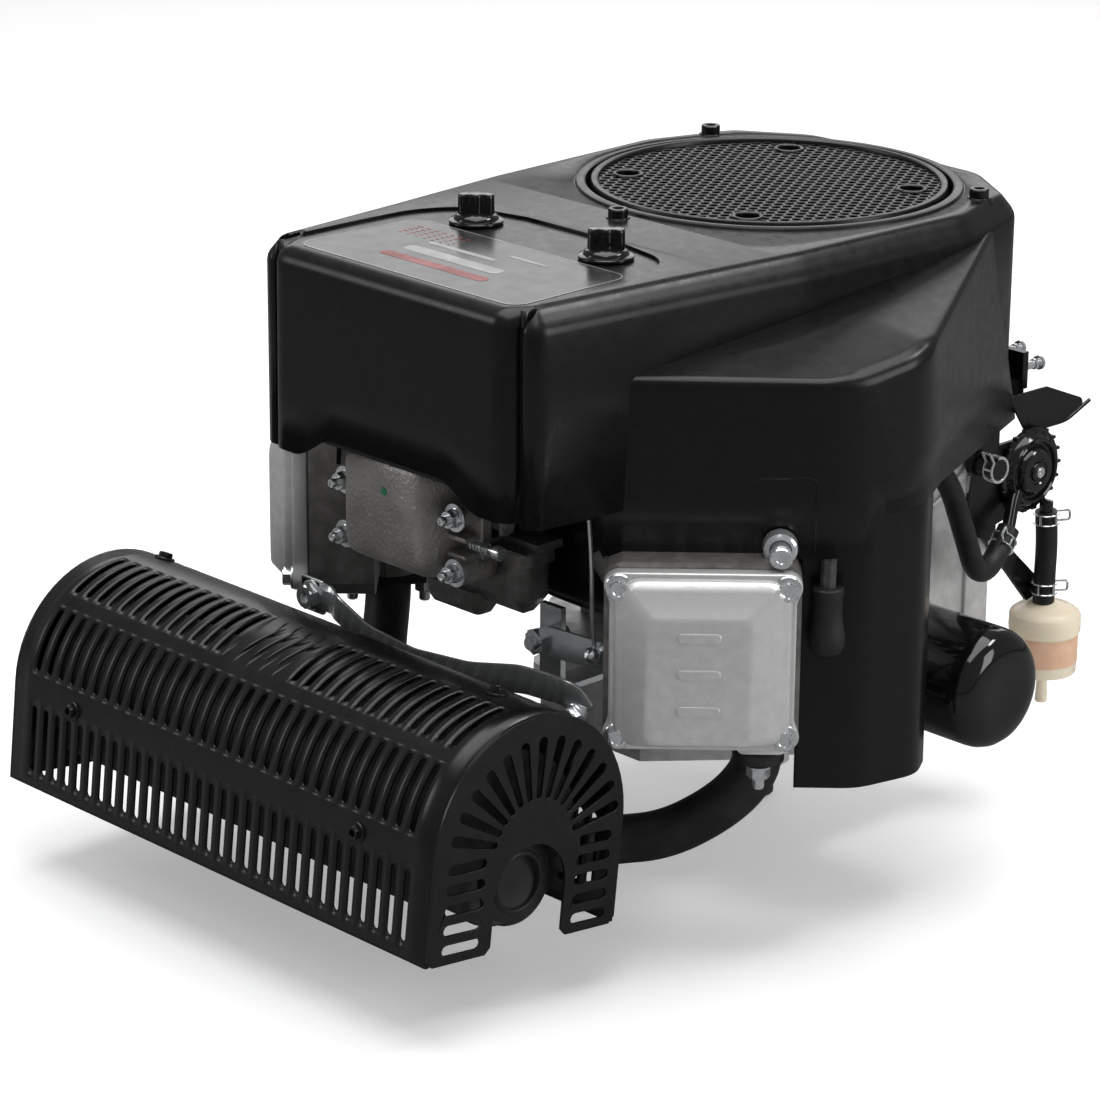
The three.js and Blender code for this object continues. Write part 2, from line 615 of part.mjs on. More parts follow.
const governorLever = () => cut(
  join(
    hull(LEVER.flatMap(([x, z]) => [[x, -229.5, z], [x, -231.5, z]])),
    alongY(8, -236, -226, GOVERNOR.x, GOVERNOR.z, 6),
  ),
  alongY(4.3, -240, -220, GOVERNOR.x, GOVERNOR.z, 12),
);

const governorLink = () => join(
  pipe([[90, -235, 136], [88.5, -236, 160], [87.5, -236, 190], [85, -236, 218]], 1.4, 8, 6),
  new THREE.IcosahedronGeometry(5.5, 1).translate(90, -237.5, 136),
);

// The shaft that the governor lever clamps to comes out of a bracket standing on the sump joint.
const governorBracket = () => join(
  box(30, 48, -222, -218, 96.5, 150),
  box(30, 48, -222, -140, 96.5, 100),
  alongY(4, -240, -219, GOVERNOR.x, GOVERNOR.z, 12),
  alongY(5, -223, -210, GOVERNOR.x, GOVERNOR.z, 12),
);

// ---- Lubrication, fuel and starting ------------------------------------------------------------
const oilFilter = () => turned([
  [0, 0], [34, 0], [37, 2], [38, 5], [38, 72], [36.5, 80], [31, 86], [22, 89], [0, 90],
], 20).rotateY(Math.PI / 2).translate(130.3, FILTER_Y, FILTER_Z);

// The pump's outlet spigot runs down to the delivery hose.
const PUMP = { y: 111, z: 182 };
const PUMP_OUTLET = [[129, 93, 170], [134, 85, 158], [136, 79, 148]];
const FUEL = { x: 132, y: 126 };
const bracketPlate = (points) => hull(points.flatMap(([y, z]) => [[120.3, y, z], [123, y, z]]));
const pumpBracket = () => join(
  bracketPlate([[60, 218], [84, 226], [84, 140], [56, 150]]),
  bracketPlate([[80, 203], [128, 203], [128, 160], [80, 150]]),
  bracketPlate([[60, 158], [84, 146], [138, 96], [118, 92]]),
  alongX(7, 122, 142, 62, 196, 14),
  alongX(9, 122, 127, 62, 196, 14),
);
const fuelPump = () => join(
  turned([
    [0, 0], [24, 0], [24, 3], [27, 4], [27, 9], [24, 10], [23, 6], [14, 7], [13, 12], [5, 12], [4, 9], [0, 9],
  ], 16).rotateY(Math.PI / 2).translate(123.3, PUMP.y, PUMP.z),
  post(4, PUMP.z - 42, PUMP.z - 22, FUEL.x, PUMP.y + 10, 12),
  pipe(PUMP_OUTLET, 4, 4, 8),
);
const fuelFilter = () => turned([
  [0, 24], [3, 24], [3, 40], [12, 43], [21, 50], [22, 56], [22, 74],
  [23, 77], [23, 83], [17, 89], [4.4, 91], [4.4, 100], [0, 100],
], 16).translate(FUEL.x, FUEL.y, 0);
const fuelHose = () => cut(
  pipe([
    [FUEL.x, FUEL.y, 92], [FUEL.x, FUEL.y, 108], [FUEL.x, FUEL.y - 3, 130], [FUEL.x, PUMP.y + 10, 153],
  ], 7, 8, 10),
  post(4.4 + GAP, 90, 101, FUEL.x, FUEL.y, 12),
  post(4 + GAP, 138, 156, FUEL.x, PUMP.y + 10, 12),
);
const carbHose = () => cut(
  pipe([
    [135.8, 81, 152], [138, 70, 141], [142, 54, 132], [144, 40, 136],
    [144, 30, 160], [142, 16, 196], [137, -6, 226],
  ], 7, 14, 10),
  pipe(PUMP_OUTLET, 4 + GAP, 4, 8),
);

const FLAP = [[92, 232], [110, 205], [150, 204], [174, 213], [130, 232]];
const heatFlap = () => hull(FLAP.flatMap(([y, z]) => [[120.3, y, z], [122.3, y, z]]));

const regulator = () => join(box(78, 106, 106.4, 126, 222, 234), box(84, 108, 122, 127, 228, 252));

const starterMotor = () => join(
  turned([[0, 112], [30, 112], [35, 116], [35, 222], [26, 228], [0, 228]], 18),
  post(6, 226, 262, 0, 0, 16),
  box(-42.2, -20, -22, 22, 196, 212).rotateZ(rad(STARTER_ANGLE)),
).translate(STARTER_R * cos(STARTER_ANGLE), STARTER_R * sin(STARTER_ANGLE), 0);
const starterPinion = () => cut(
  join(prism(toothed(12, 11.2, 14.2, 0.1), 234, 244), post(10, 230, 236, 0, 0, 20)),
  post(6 + GAP, 226, 250, 0, 0, 16),
).translate(STARTER_R * cos(STARTER_ANGLE), STARTER_R * sin(STARTER_ANGLE), 0);

// ---- Exhaust -----------------------------------------------------------------------------------
const tilt = (geometry) => geometry.rotateX(rad(-GUARD_TILT)).translate(0, GUARD_FRONT, GUARD_LOW);
const arch = (r, y0, low) => {
  const points = [[y0, low]];
  for (let i = 0; i <= 10; i += 1) {
    points.push([GUARD_R - r * cos(18 * i), GUARD_HEIGHT - GUARD_R + r * sin(18 * i)]);
  }
  points.push([2 * GUARD_R - y0, low]);
  return points;
};
const alongGuard = (points, x0, x1) => prism(points.map(([y, z]) => [y, z]), x0, x1)
  .applyMatrix4(new THREE.Matrix4().set(0, 0, 1, 0, 1, 0, 0, 0, 0, 1, 0, 0, 0, 0, 0, 1));

function silencerGuard() {
  const skin = cut(
    alongGuard(arch(GUARD_R, 0, 0), GUARD_LEFT, GUARD_RIGHT),
    alongGuard(arch(GUARD_R - SHEET, SHEET, -5), GUARD_LEFT + SHEET, GUARD_RIGHT - SHEET),
  );
  const outlet = join(
    box(GUARD_RIGHT - 10, GUARD_RIGHT + 5, OUTLET_Y - OUTLET_R, OUTLET_Y + OUTLET_R, -5, 32.5),
    alongX(OUTLET_R, GUARD_RIGHT - 10, GUARD_RIGHT + 5, OUTLET_Y, 32.5, 24),
  );
  const back = [-130, 20].map((x) => box(x, x + 110, 2 * GUARD_R - 6, 2 * GUARD_R + 5, -5, 62));
  const slots = [];
  for (let i = 0; i < 10; i += 1) {
    slots.push(box(-200 + 32 * i, -190 + 32 * i, -5, 6, 12, 56));
  }
  return tilt(cut(skin, outlet, ...back, ...slots));
}

const silencer = () => tilt(cut(
  join(
    alongX(52, GUARD_LEFT + 14, GUARD_RIGHT - 10, 66, GUARD_HEIGHT - GUARD_R - 2, 24),
    box(GUARD_LEFT + 14, GUARD_RIGHT - 10, 18, 114, 18, 62),
    alongX(OUTLET_R, GUARD_RIGHT - 60, GUARD_RIGHT - 10, OUTLET_Y + 3, 33, 24),
  ),
  alongX(16.5, GUARD_RIGHT - 60, GUARD_RIGHT + 5, OUTLET_Y, 35, 20),
));

const UP = new THREE.Vector3(0, 0, 1);

function exhaustPipe(side) {
  const s = side.hand;
  const head = new THREE.Vector3(236, inner(side, 7), 0).applyAxisAngle(UP, rad(side.angle));
  const low = s > 0 ? 0 : 12;
  const path = [
    [head.x, head.y, side.z - 72.3], [head.x, head.y, side.z - 86],
    [head.x - s * 8, head.y - 12, 50 + low], [head.x - s * 34, head.y - 36, 26 + low / 2],
    [head.x - s * 62, head.y - 62, 22], [head.x - s * 80, -286, 22], [head.x - s * 84, -297, 22],
  ];
  const flange = onCylinder(prism(rounded(236, inner(side, 7), 30, 17, 10, 3), -80, -72.3), side);
  return join(pipe(path, 14.5, 10, 12), flange);
}

function strap() {
  const stations = [
    [-128.5, 134, -270], [-100, 134, -270], [-92, 136, -276], [-62, 122, -276], [-20, 116, -276],
    [30, 118, -276], [72, 128, -276], [104, 132, -276], [110, 128, -270], [119, 118, -270],
  ];
  const parts = [];
  for (let i = 0; i + 1 < stations.length; i += 1) {
    parts.push(hull([stations[i], stations[i + 1]].flatMap(([x, z, y]) => [
      [x, y, z], [x, y + 2, z], [x, y, z - 12], [x, y + 2, z - 12]])));
  }
  return join(...parts);
}

// ---- Assembly ----------------------------------------------------------------------------------
add('sump', sump(), 'casting');
add('crankcase', crankcase(), 'brightCasting');
Object.entries(SIDES).forEach(([name, side]) => {
  add(`head_gasket_${name}`, headGasket(side), 'gasket');
  add(`cylinder_head_${name}`, cylinderHead(side), 'darkCasting');
  add(`valve_cover_${name}`, valveCover(side), name === 'right' ? 'brightCasting' : 'darkCasting');
  add(`spark_plug_${name}`, sparkPlug(side), 'ceramic');
  add(`spark_lead_${name}`, sparkLead(side), 'lead');
  add(`piston_${name}`, piston(side), 'steel');
  add(`connecting_rod_${name}`, rod(side), 'casting');
  add(`ignition_coil_${name}`, ignitionCoil(side.hand), 'glossBlack');
  add(`exhaust_pipe_${name}`, exhaustPipe(side), 'blackMetal');
});
add('shroud_right', shroud(SIDES.right, 62, SKIRT_Z - 0.5), 'moulding');
add('shroud_left', shroud(SIDES.left, 84, SKIRT_Z - 0.5), 'moulding');
add('crankshaft_lower', crankLower(), 'steel');
add('crankshaft_upper', crankUpper(), 'steel');
add('crank_gear', crankGear(), 'iron');
add('camshaft', camshaft(), 'iron');
add('flywheel', flywheel(), 'casting');
add('ring_gear', ringGear(), 'steel');
add('cooling_fan', coolingFan(), 'moulding');
add('debris_screen', debrisScreen(), 'moulding');
add('stator', stator(), 'iron');
add('blower_housing', blowerHousing(), 'moulding');
add('air_cleaner_base', airCleanerBase(), 'moulding');
add('air_filter', airFilter(), 'filterPaper');
add('air_cleaner_cover', airCleanerCover(), 'moulding');
add('knob_left', knob(-1), 'moulding');
add('knob_right', knob(1), 'moulding');
add('intake_elbow', intakeElbow(), 'darkCasting');
add('carburettor', carburettor(), 'darkCasting');
add('float_bowl', floatBowl(), 'darkCasting');
add('throttle_shaft', butterfly(THROTTLE_Y, 14), 'steel');
add('choke_shaft', butterfly(CHOKE_Y, 25.6), 'steel');
add('intake_manifold', manifold(), 'darkCasting');
add('governor_bracket', governorBracket(), 'steel');
add('governor_lever', governorLever(), 'steel');
add('governor_link', governorLink(), 'steel');
add('oil_filter', oilFilter(), 'glossBlack');
add('pump_bracket', pumpBracket(), 'blackMetal');
add('fuel_pump', fuelPump(), 'glossBlack');
add('fuel_filter', fuelFilter(), 'clearPlastic');
add('fuel_hose_supply', fuelHose(), 'rubber');
add('fuel_hose_delivery', carbHose(), 'rubber');
add('heat_flap', heatFlap(), 'blackMetal');
add('regulator', regulator(), 'blackMetal');
add('starter_motor', starterMotor(), 'blackMetal');
add('starter_pinion', starterPinion(), 'steel');
add('silencer_guard', silencerGuard(), 'blackMetal');
add('silencer', silencer(), 'blackMetal');
add('guard_strap', strap(), 'steel');

export default engine;
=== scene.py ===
import math

import bmesh
import bpy
import numpy as np
from mathutils import Matrix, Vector
from mathutils.geometry import tessellate_polygon


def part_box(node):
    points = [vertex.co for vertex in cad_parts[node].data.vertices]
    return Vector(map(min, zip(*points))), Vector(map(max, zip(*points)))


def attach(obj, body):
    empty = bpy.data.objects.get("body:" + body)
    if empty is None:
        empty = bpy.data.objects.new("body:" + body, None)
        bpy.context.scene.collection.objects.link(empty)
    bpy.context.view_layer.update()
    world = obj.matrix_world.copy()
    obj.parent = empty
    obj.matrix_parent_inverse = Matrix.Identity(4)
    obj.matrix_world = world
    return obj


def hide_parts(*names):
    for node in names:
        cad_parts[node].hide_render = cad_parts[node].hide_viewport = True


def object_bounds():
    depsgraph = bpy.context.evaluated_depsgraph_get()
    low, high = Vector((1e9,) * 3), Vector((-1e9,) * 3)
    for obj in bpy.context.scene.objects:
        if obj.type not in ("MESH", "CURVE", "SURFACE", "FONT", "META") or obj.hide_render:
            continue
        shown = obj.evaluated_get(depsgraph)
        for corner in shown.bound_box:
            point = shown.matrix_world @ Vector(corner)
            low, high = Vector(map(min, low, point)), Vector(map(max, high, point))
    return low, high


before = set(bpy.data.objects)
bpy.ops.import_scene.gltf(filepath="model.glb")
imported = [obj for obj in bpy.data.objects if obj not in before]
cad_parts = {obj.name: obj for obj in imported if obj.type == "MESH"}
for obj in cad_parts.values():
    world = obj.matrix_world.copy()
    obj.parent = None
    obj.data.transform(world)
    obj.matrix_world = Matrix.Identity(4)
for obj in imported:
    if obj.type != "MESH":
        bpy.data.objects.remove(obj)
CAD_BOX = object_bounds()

bl_info = {
    "name": "Small Gasoline Engine",
    "version": (1, 0, 0),
    "blender": (4, 5, 0),
    "location": "View3D > Sidebar > Engine",
    "description": "Builds the finished surfaces of a V-twin engine round its packed frame",
    "category": "Object",
}

# Lengths below are in millimetres at the drawing datum, where the mounting face is at height 32.
DATUM = 32.0
MM = 1000.0
TOP = 360.0
HALF = math.sqrt(0.5)
UP = np.array([0.0, 0.0, 1.0])


def place_of(node):
    """Lowest and highest corner of a CAD node, in millimetres at the drawing datum."""
    low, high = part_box(node)
    shift = np.array([0, 0, DATUM])
    return np.array(low) * MM + shift, np.array(high) * MM + shift


# ---- Outlines and paths ------------------------------------------------------------------------
def arc_angles(count, start=0.0, sweep=2 * math.pi, closed=True):
    return start + sweep * np.arange(count) / (count if closed else count - 1)


def circle(radius, count=32, x=0.0, y=0.0):
    a = arc_angles(count)
    return np.column_stack([x + radius * np.cos(a), y + radius * np.sin(a)])


def rounded(corners, radius, inset=0.0, steps=6):
    """A plan running anticlockwise, each side moved in by inset, each corner turned by an arc.
    A corner's arc has its centre on the bisector and runs from one side's tangent to the next's."""
    p = np.asarray(corners, float)
    r = np.broadcast_to(np.asarray(radius, float), len(p))
    d = np.roll(p, -1, 0) - p
    d /= np.linalg.norm(d, axis=1)[:, None]
    n = np.column_stack([-d[:, 1], d[:, 0]])
    n0, d0 = np.roll(n, 1, 0), np.roll(d, 1, 0)
    share = (n0 + n) / (1 + (n0 * n).sum(1))[:, None]
    q = p + inset * share
    cross = d0[:, 0] * d[:, 1] - d0[:, 1] * d[:, 0]
    theta = np.arctan2(cross, (d0 * d).sum(1))
    sign = np.where(cross >= 0, 1.0, -1.0)
    rr = np.maximum(r - inset * sign, 0.15)
    centre = q + (rr * sign)[:, None] * share
    t = np.linspace(0, 1, steps)[None, :] * theta[:, None]
    turned_x = n0[:, :1] * np.cos(t) - n0[:, 1:] * np.sin(t)
    turned_y = n0[:, :1] * np.sin(t) + n0[:, 1:] * np.cos(t)
    k = (rr * sign)[:, None]
    return np.stack([centre[:, :1] - k * turned_x, centre[:, 1:] - k * turned_y], -1).reshape(-1, 2)


def rectangle(x, y, half_x, half_y):
    return [(x - half_x, y - half_y), (x + half_x, y - half_y), (x + half_x, y + half_y),
            (x - half_x, y + half_y)]


def resample(points, spacing, closed=False):
    """The same line with points evenly spaced along its length."""
    p = np.asarray(points, float)
    p = np.vstack([p, p[:1]]) if closed else p
    keep = np.append(True, np.linalg.norm(np.diff(p, axis=0), axis=1) > 1e-6)
    p = p[keep]
    length = np.append(0, np.cumsum(np.linalg.norm(np.diff(p, axis=0), axis=1)))
    count = max(2, int(round(length[-1] / spacing)) + 1)
    at = np.linspace(0, length[-1], count)
    q = np.column_stack([np.interp(at, length, p[:, k]) for k in range(p.shape[1])])
    return q[:-1] if closed else q


def bent(points, reach, steps=7):
    """A path whose inner corners are replaced by parabolas that start and end `reach` away from the
    corner."""
    p = np.asarray(points, float)
    inner, before, after = p[1:-1], p[:-2] - p[1:-1], p[2:] - p[1:-1]
    lb, la = np.linalg.norm(before, axis=1), np.linalg.norm(after, axis=1)
    a = inner + before * (np.minimum(reach, 0.48 * lb) / lb)[:, None]
    b = inner + after * (np.minimum(reach, 0.48 * la) / la)[:, None]
    t = np.linspace(0, 1, steps)[None, :, None]
    curve = (1 - t) ** 2 * a[:, None] + 2 * t * (1 - t) * inner[:, None] + t ** 2 * b[:, None]
    return np.vstack([p[:1], curve.reshape(-1, p.shape[1]), p[-1:]])


def outward(path):
    """Unit normals to the right of an open plan path, found from its central differences."""
    d = np.gradient(path, axis=0)
    d /= np.linalg.norm(d, axis=1)[:, None]
    return np.column_stack([d[:, 1], -d[:, 0]])


# ---- Surfaces: each returns (vertices, faces) -----------------------------------------------------
def grid(points, wrap=True, caps=(False, False)):
    """Quads over points[v, u], facing along du x dv. wrap joins the last u to the first; caps close the
    ends."""
    points = np.asarray(points, float)
    nv, nu = points.shape[:2]
    ids = np.arange(nv * nu).reshape(nv, nu)
    nxt = np.roll(ids, -1, 1) if wrap else ids[:, 1:]
    cur = ids if wrap else ids[:, :-1]
    quads = np.stack([cur[:-1], nxt[:-1], nxt[1:], cur[1:]], -1).reshape(-1, 4)
    faces = [tuple(q) for q in quads.tolist()]
    if caps[0]:
        faces.append(tuple(ids[0][::-1].tolist()))
    if caps[1]:
        faces.append(tuple(ids[-1].tolist()))
    return points.reshape(-1, 3), faces


def lofted(rings, heights, caps=(True, True)):
    """Plan rings of equal count stacked at their heights."""
    stack = [np.column_stack([ring, np.broadcast_to(h, len(ring))]) for ring, h in zip(rings, heights)]
    return grid(np.stack(stack), True, caps)


def moulded(corners, radius, levels, steps=6, caps=(True, True)):
    """One plan lofted through (inset, height) levels."""
    return lofted([rounded(corners, radius, i, steps) for i, _ in levels], [h for _, h in levels], caps)


def round_edge(inset, height, radius, steps=4):
    """Levels of a rounded top edge: inset grows by r(1 - cos a) while height grows by r sin a."""
    a = np.linspace(0, math.pi / 2, steps + 1)
    return list(zip(inset + radius * (1 - np.cos(a)), height - radius + radius * np.sin(a)))


def soft_block(corners, radius, low, high, edge=1.0, steps=5):
    """A block with rounded plan corners and rounded top and bottom edges."""
    lower = [(edge + 0.4, low), (edge, low), (edge * 0.3, low + edge * 0.3), (0, low + edge)]
    return moulded(corners, radius, lower + round_edge(0, high, edge, 3) + [(edge + 0.4, high)], steps)


def turned(profile, count=40):
    """A profile of (radius, height) turned about the height axis. A radius of zero becomes a small closed
    end."""
    p = np.asarray(profile, float)
    a = arc_angles(count)
    r = np.maximum(p[:, :1], 0.05) * np.ones((1, count))
    pts = np.stack([r * np.cos(a), r * np.sin(a), p[:, 1:] * np.ones((1, count))], -1)
    return grid(pts, True, (True, True))


def ring_turned(profile, count=48):
    """A closed profile of (radius, height), anticlockwise, turned to a ring."""
    p = np.asarray(profile, float)
    p = np.vstack([p, p[:1]])
    a = arc_angles(count)
    pts = np.stack([p[:, :1] * np.cos(a), p[:, :1] * np.sin(a), p[:, 1:] * np.ones((1, count))], -1)
    return grid(pts, True)


def frames_along(path, up=None):
    """Tangent, side and lift at each station, carried along with the least twist."""
    d = np.gradient(path, axis=0)
    d /= np.linalg.norm(d, axis=1)[:, None]
    side = np.cross(d[0], up if up is not None else (UP if abs(d[0][2]) < 0.9 else [1.0, 0, 0]))
    sides = []
    for t in d:
        side = side - t * (side @ t)
        side /= np.linalg.norm(side)
        sides.append(side)
    sides = np.array(sides)
    return d, sides, np.cross(sides, d)


def swept(path, section, scale=None, up=None, caps=(True, True)):
    """A closed section (side, lift) carried along a path, its size multiplied by scale at each station."""
    path, section = np.asarray(path, float), np.asarray(section, float)
    _, s, l = frames_along(path, up)
    k = np.ones(len(path)) if scale is None else np.asarray(scale, float)
    pts = path[:, None] + k[:, None, None] * (
        section[None, :, :1] * s[:, None] + section[None, :, 1:] * l[:, None])
    return grid(pts, True, caps)


def tube(path, radius, count=20, **options):
    return swept(path, circle(radius, count), **options)


def band(path, width, thick, up=None):
    """A flat strip of metal carried along a path."""
    corner = min(thick * 0.45, 0.6)
    return swept(path, rounded(rectangle(0, 0, thick / 2, width / 2), corner, 0, 3), up=up)


def plate(outline, holes, low, high):
    """A flat plate: its faces are cut into triangles between the outline and the holes, and each loop has
    a wall."""
    loops = [np.asarray(outline, float)] + [np.asarray(h, float) for h in holes]
    flat = [[(x, y, 0.0) for x, y in loop.tolist()] for loop in loops]
    tris = np.array(tessellate_polygon(flat))
    pts = np.vstack(loops)
    a, b, c = pts[tris[:, 0]], pts[tris[:, 1]], pts[tris[:, 2]]
    area = (b[:, 0] - a[:, 0]) * (c[:, 1] - a[:, 1]) - (b[:, 1] - a[:, 1]) * (c[:, 0] - a[:, 0])
    tris[area < 0] = tris[area < 0][:, ::-1]
    tris = tris[np.abs(area) > 1e-9]
    n = len(pts)
    verts = np.vstack([np.column_stack([pts, np.full(n, low)]), np.column_stack([pts, np.full(n, high)])])
    faces = [tuple(t) for t in (tris + n).tolist()] + [tuple(t[::-1]) for t in tris.tolist()]
    start = 0
    for k, loop in enumerate(loops):
        x, y = loop[:, 0], loop[:, 1]
        ccw = (x * np.roll(y, -1) - np.roll(x, -1) * y).sum() > 0
        ids = start + np.arange(len(loop))
        nxt = np.roll(ids, -1)
        if ccw != (k == 0):
            ids, nxt = nxt, ids
        faces += [tuple(q) for q in np.column_stack([ids, nxt, nxt + n, ids + n]).tolist()]
        start += len(loop)
    return verts, faces


def hexagon_head(across, low, high, flange=None, socket=None):
    """A bolt head: a washer face, six flats with their corners turned down, and a domed or hollow top."""
    count = 24
    a = arc_angles(count)
    flats = (across / 2) / np.cos((a + math.pi / 6) % (math.pi / 3) - math.pi / 6)
    limit = lambda r: np.minimum(flats, r)
    rings, heights = [], []
    base = flange if flange else across * 0.62
    foot = min(1.6, 0.35 * (high - low))
    for r, h in ((base, low), (base, low + foot * 0.5), (base * 0.94, low + foot * 0.9)):
        rings.append(np.full(count, r))
        heights.append(h)
    for r, h in ((across * 0.6, low + foot), (across * 0.6, high - 0.9), (across * 0.5, high)):
        rings.append(limit(r))
        heights.append(h)
    if socket:
        for r, h in ((socket + 0.3, high), (socket, high - 0.3), (socket * 0.96, high - 2.6)):
            rings.append(np.full(count, r))
            heights.append(h)
    else:
        for r, h in ((across * 0.34, high), (across * 0.28, high - 0.5), (across * 0.1, high - 0.5)):
            rings.append(np.full(count, r))
            heights.append(h)
    plan = [np.column_stack([r * np.cos(a), r * np.sin(a)]) for r in rings]
    return lofted(plan, heights)


# ---- Placing and joining shapes -------------------------------------------------------------------
def placed(shape, origin=(0, 0, 0), ex=(1, 0, 0), ey=(0, 1, 0), ez=(0, 0, 1)):
    """The shape with its own axes laid along ex, ey and ez; a mirrored frame turns its faces round."""
    verts, faces = shape
    axes = np.array([ex, ey, ez], float)
    verts = verts @ axes + np.asarray(origin, float)
    if np.linalg.det(axes) < 0:
        faces = [f[::-1] for f in faces]
    return verts, faces


def mirrored(shape):
    return placed(shape, ex=(-1, 0, 0))


def joined(shapes):
    verts, faces, start = [], [], 0
    for v, f in shapes:
        verts.append(v)
        faces += [tuple(i + start for i in q) for q in f]
        start += len(v)
    return np.vstack(verts), faces


class Side:
    """One cylinder's directions: out along its axis, in across it towards the middle of the V, and up."""

    def __init__(self, hand, height):
        self.hand = hand
        self.out = np.array([hand * HALF, -HALF, 0])
        self.across = np.array([-hand * HALF, -HALF, 0])
        self.centre = np.array([0, 0, height])

    def put(self, shape, out=0.0, across=0.0, up=0.0):
        """Local x lies across, y up and z outwards along the cylinder."""
        origin = self.centre + out * self.out + across * self.across + up * UP
        return placed(shape, origin, self.across, UP, self.out)

    def standing(self, shape):
        """Local x lies outwards, y across and z up."""
        return placed(shape, self.centre, self.out, self.across, UP)

    def at(self, out, across, up):
        return self.centre + out * self.out + across * self.across + up * UP


SIDES = {"right": Side(1, 161.0), "left": Side(-1, 183.5)}


def along_x(shape, x=0.0, y=0.0, z=0.0):
    """Turns a shape's height axis to +X."""
    return placed(shape, (x, y, z), (0, 1, 0), (0, 0, 1), (1, 0, 0))


def along_y(shape, x=0.0, y=0.0, z=0.0, sign=-1):
    """Turns a shape's height axis to -Y, or +Y."""
    return placed(shape, (x, y, z), (1, 0, 0), (0, 0, -sign), (0, sign, 0))


def piece(name, shapes, finish, body="engine", stands_for=(), sharp=32.0,
          wall=None, bevel=None, merge=False, recalc=True):
    """Puts shapes into one mesh object in metres, gives it its finish, and hangs it on its body."""
    verts, faces = joined(shapes)
    mesh = bpy.data.meshes.new(name)
    mesh.from_pydata(((verts - [0, 0, DATUM]) / MM).tolist(), [], faces)
    made = bmesh.new()
    made.from_mesh(mesh)
    if merge:
        bmesh.ops.remove_doubles(made, verts=made.verts, dist=merge / MM)
        bmesh.ops.dissolve_degenerate(made, edges=made.edges, dist=1e-6)
    if recalc:
        bmesh.ops.recalc_face_normals(made, faces=made.faces)
    made.to_mesh(mesh)
    made.free()
    mesh.update()
    mesh.shade_smooth()
    mesh.set_sharp_from_angle(angle=math.radians(sharp))
    obj = bpy.data.objects.new(name, mesh)
    bpy.context.scene.collection.objects.link(obj)
    mesh.materials.append(FINISHES[finish] if isinstance(finish, str) else finish)
    if wall:
        solid = obj.modifiers.new("Wall", "SOLIDIFY")
        solid.thickness = wall / MM
        solid.offset = -1
    if bevel:
        edge = obj.modifiers.new("Edge", "BEVEL")
        edge.width = bevel / MM
        edge.segments = 2
        edge.limit_method = "ANGLE"
        edge.angle_limit = math.radians(40)
        edge.use_clamp_overlap = True
        edge.harden_normals = True
    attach(obj, body)
    if stands_for:
        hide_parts(*([stands_for] if isinstance(stands_for, str) else stands_for))
    return obj


# ---- Finishes ------------------------------------------------------------------------------------
FINISHES = {}


def new_group(name, inputs, outputs):
    tree = bpy.data.node_groups.new(name, "ShaderNodeTree")
    for label, kind, value in inputs:
        socket = tree.interface.new_socket(label, in_out="INPUT", socket_type=kind)
        if value is not None:
            socket.default_value = value
    for label, kind in outputs:
        tree.interface.new_socket(label, in_out="OUTPUT", socket_type=kind)
    return tree, tree.nodes.new("NodeGroupInput"), tree.nodes.new("NodeGroupOutput")


def grain_group():
    """Height of a fine random grain plus a broader unevenness, and the same as a mask from 0 to 1."""
    tree, start, end = new_group("Surface Grain", [
        ("Vector", "NodeSocketVector", None), ("Scale", "NodeSocketFloat", 800.0),
        ("Coarse Share", "NodeSocketFloat", 0.3)],
                                 [("Height", "NodeSocketFloat"), ("Mask", "NodeSocketFloat")])
    fine, coarse = tree.nodes.new("ShaderNodeTexNoise"), tree.nodes.new("ShaderNodeTexNoise")
    fine.inputs["Detail"].default_value = 2.5
    coarse.inputs["Detail"].default_value = 3.0
    down = tree.nodes.new("ShaderNodeMath")
    down.operation = "MULTIPLY"
    down.inputs[1].default_value = 0.11
    mix = tree.nodes.new("ShaderNodeMix")
    link = tree.links.new
    link(start.outputs["Vector"], fine.inputs["Vector"])
    link(start.outputs["Vector"], coarse.inputs["Vector"])
    link(start.outputs["Scale"], fine.inputs["Scale"])
    link(start.outputs["Scale"], down.inputs[0])
    link(down.outputs[0], coarse.inputs["Scale"])
    link(start.outputs["Coarse Share"], mix.inputs["Factor"])
    link(fine.outputs["Fac"], mix.inputs["A"])
    link(coarse.outputs["Fac"], mix.inputs["B"])
    link(mix.outputs["Result"], end.inputs["Height"])
    link(coarse.outputs["Fac"], end.inputs["Mask"])
    return tree


def drift_group():
    """A colour that wanders between two near shades over the surface."""
    tree, start, end = new_group("Colour Drift", [
        ("Mask", "NodeSocketFloat", 0.5), ("Shade A", "NodeSocketColor", None),
        ("Shade B", "NodeSocketColor", None)], [("Colour", "NodeSocketColor")])
    ramp = tree.nodes.new("ShaderNodeMapRange")
    ramp.inputs["From Min"].default_value = 0.35
    ramp.inputs["From Max"].default_value = 0.65
    mix = tree.nodes.new("ShaderNodeMix")
    mix.data_type = "RGBA"
    link = tree.links.new
    link(start.outputs["Mask"], ramp.inputs["Value"])
    link(ramp.outputs["Result"], mix.inputs["Factor"])
    link(start.outputs["Shade A"], mix.inputs[6])
    link(start.outputs["Shade B"], mix.inputs[7])
    link(mix.outputs[2], end.inputs["Colour"])
    return tree


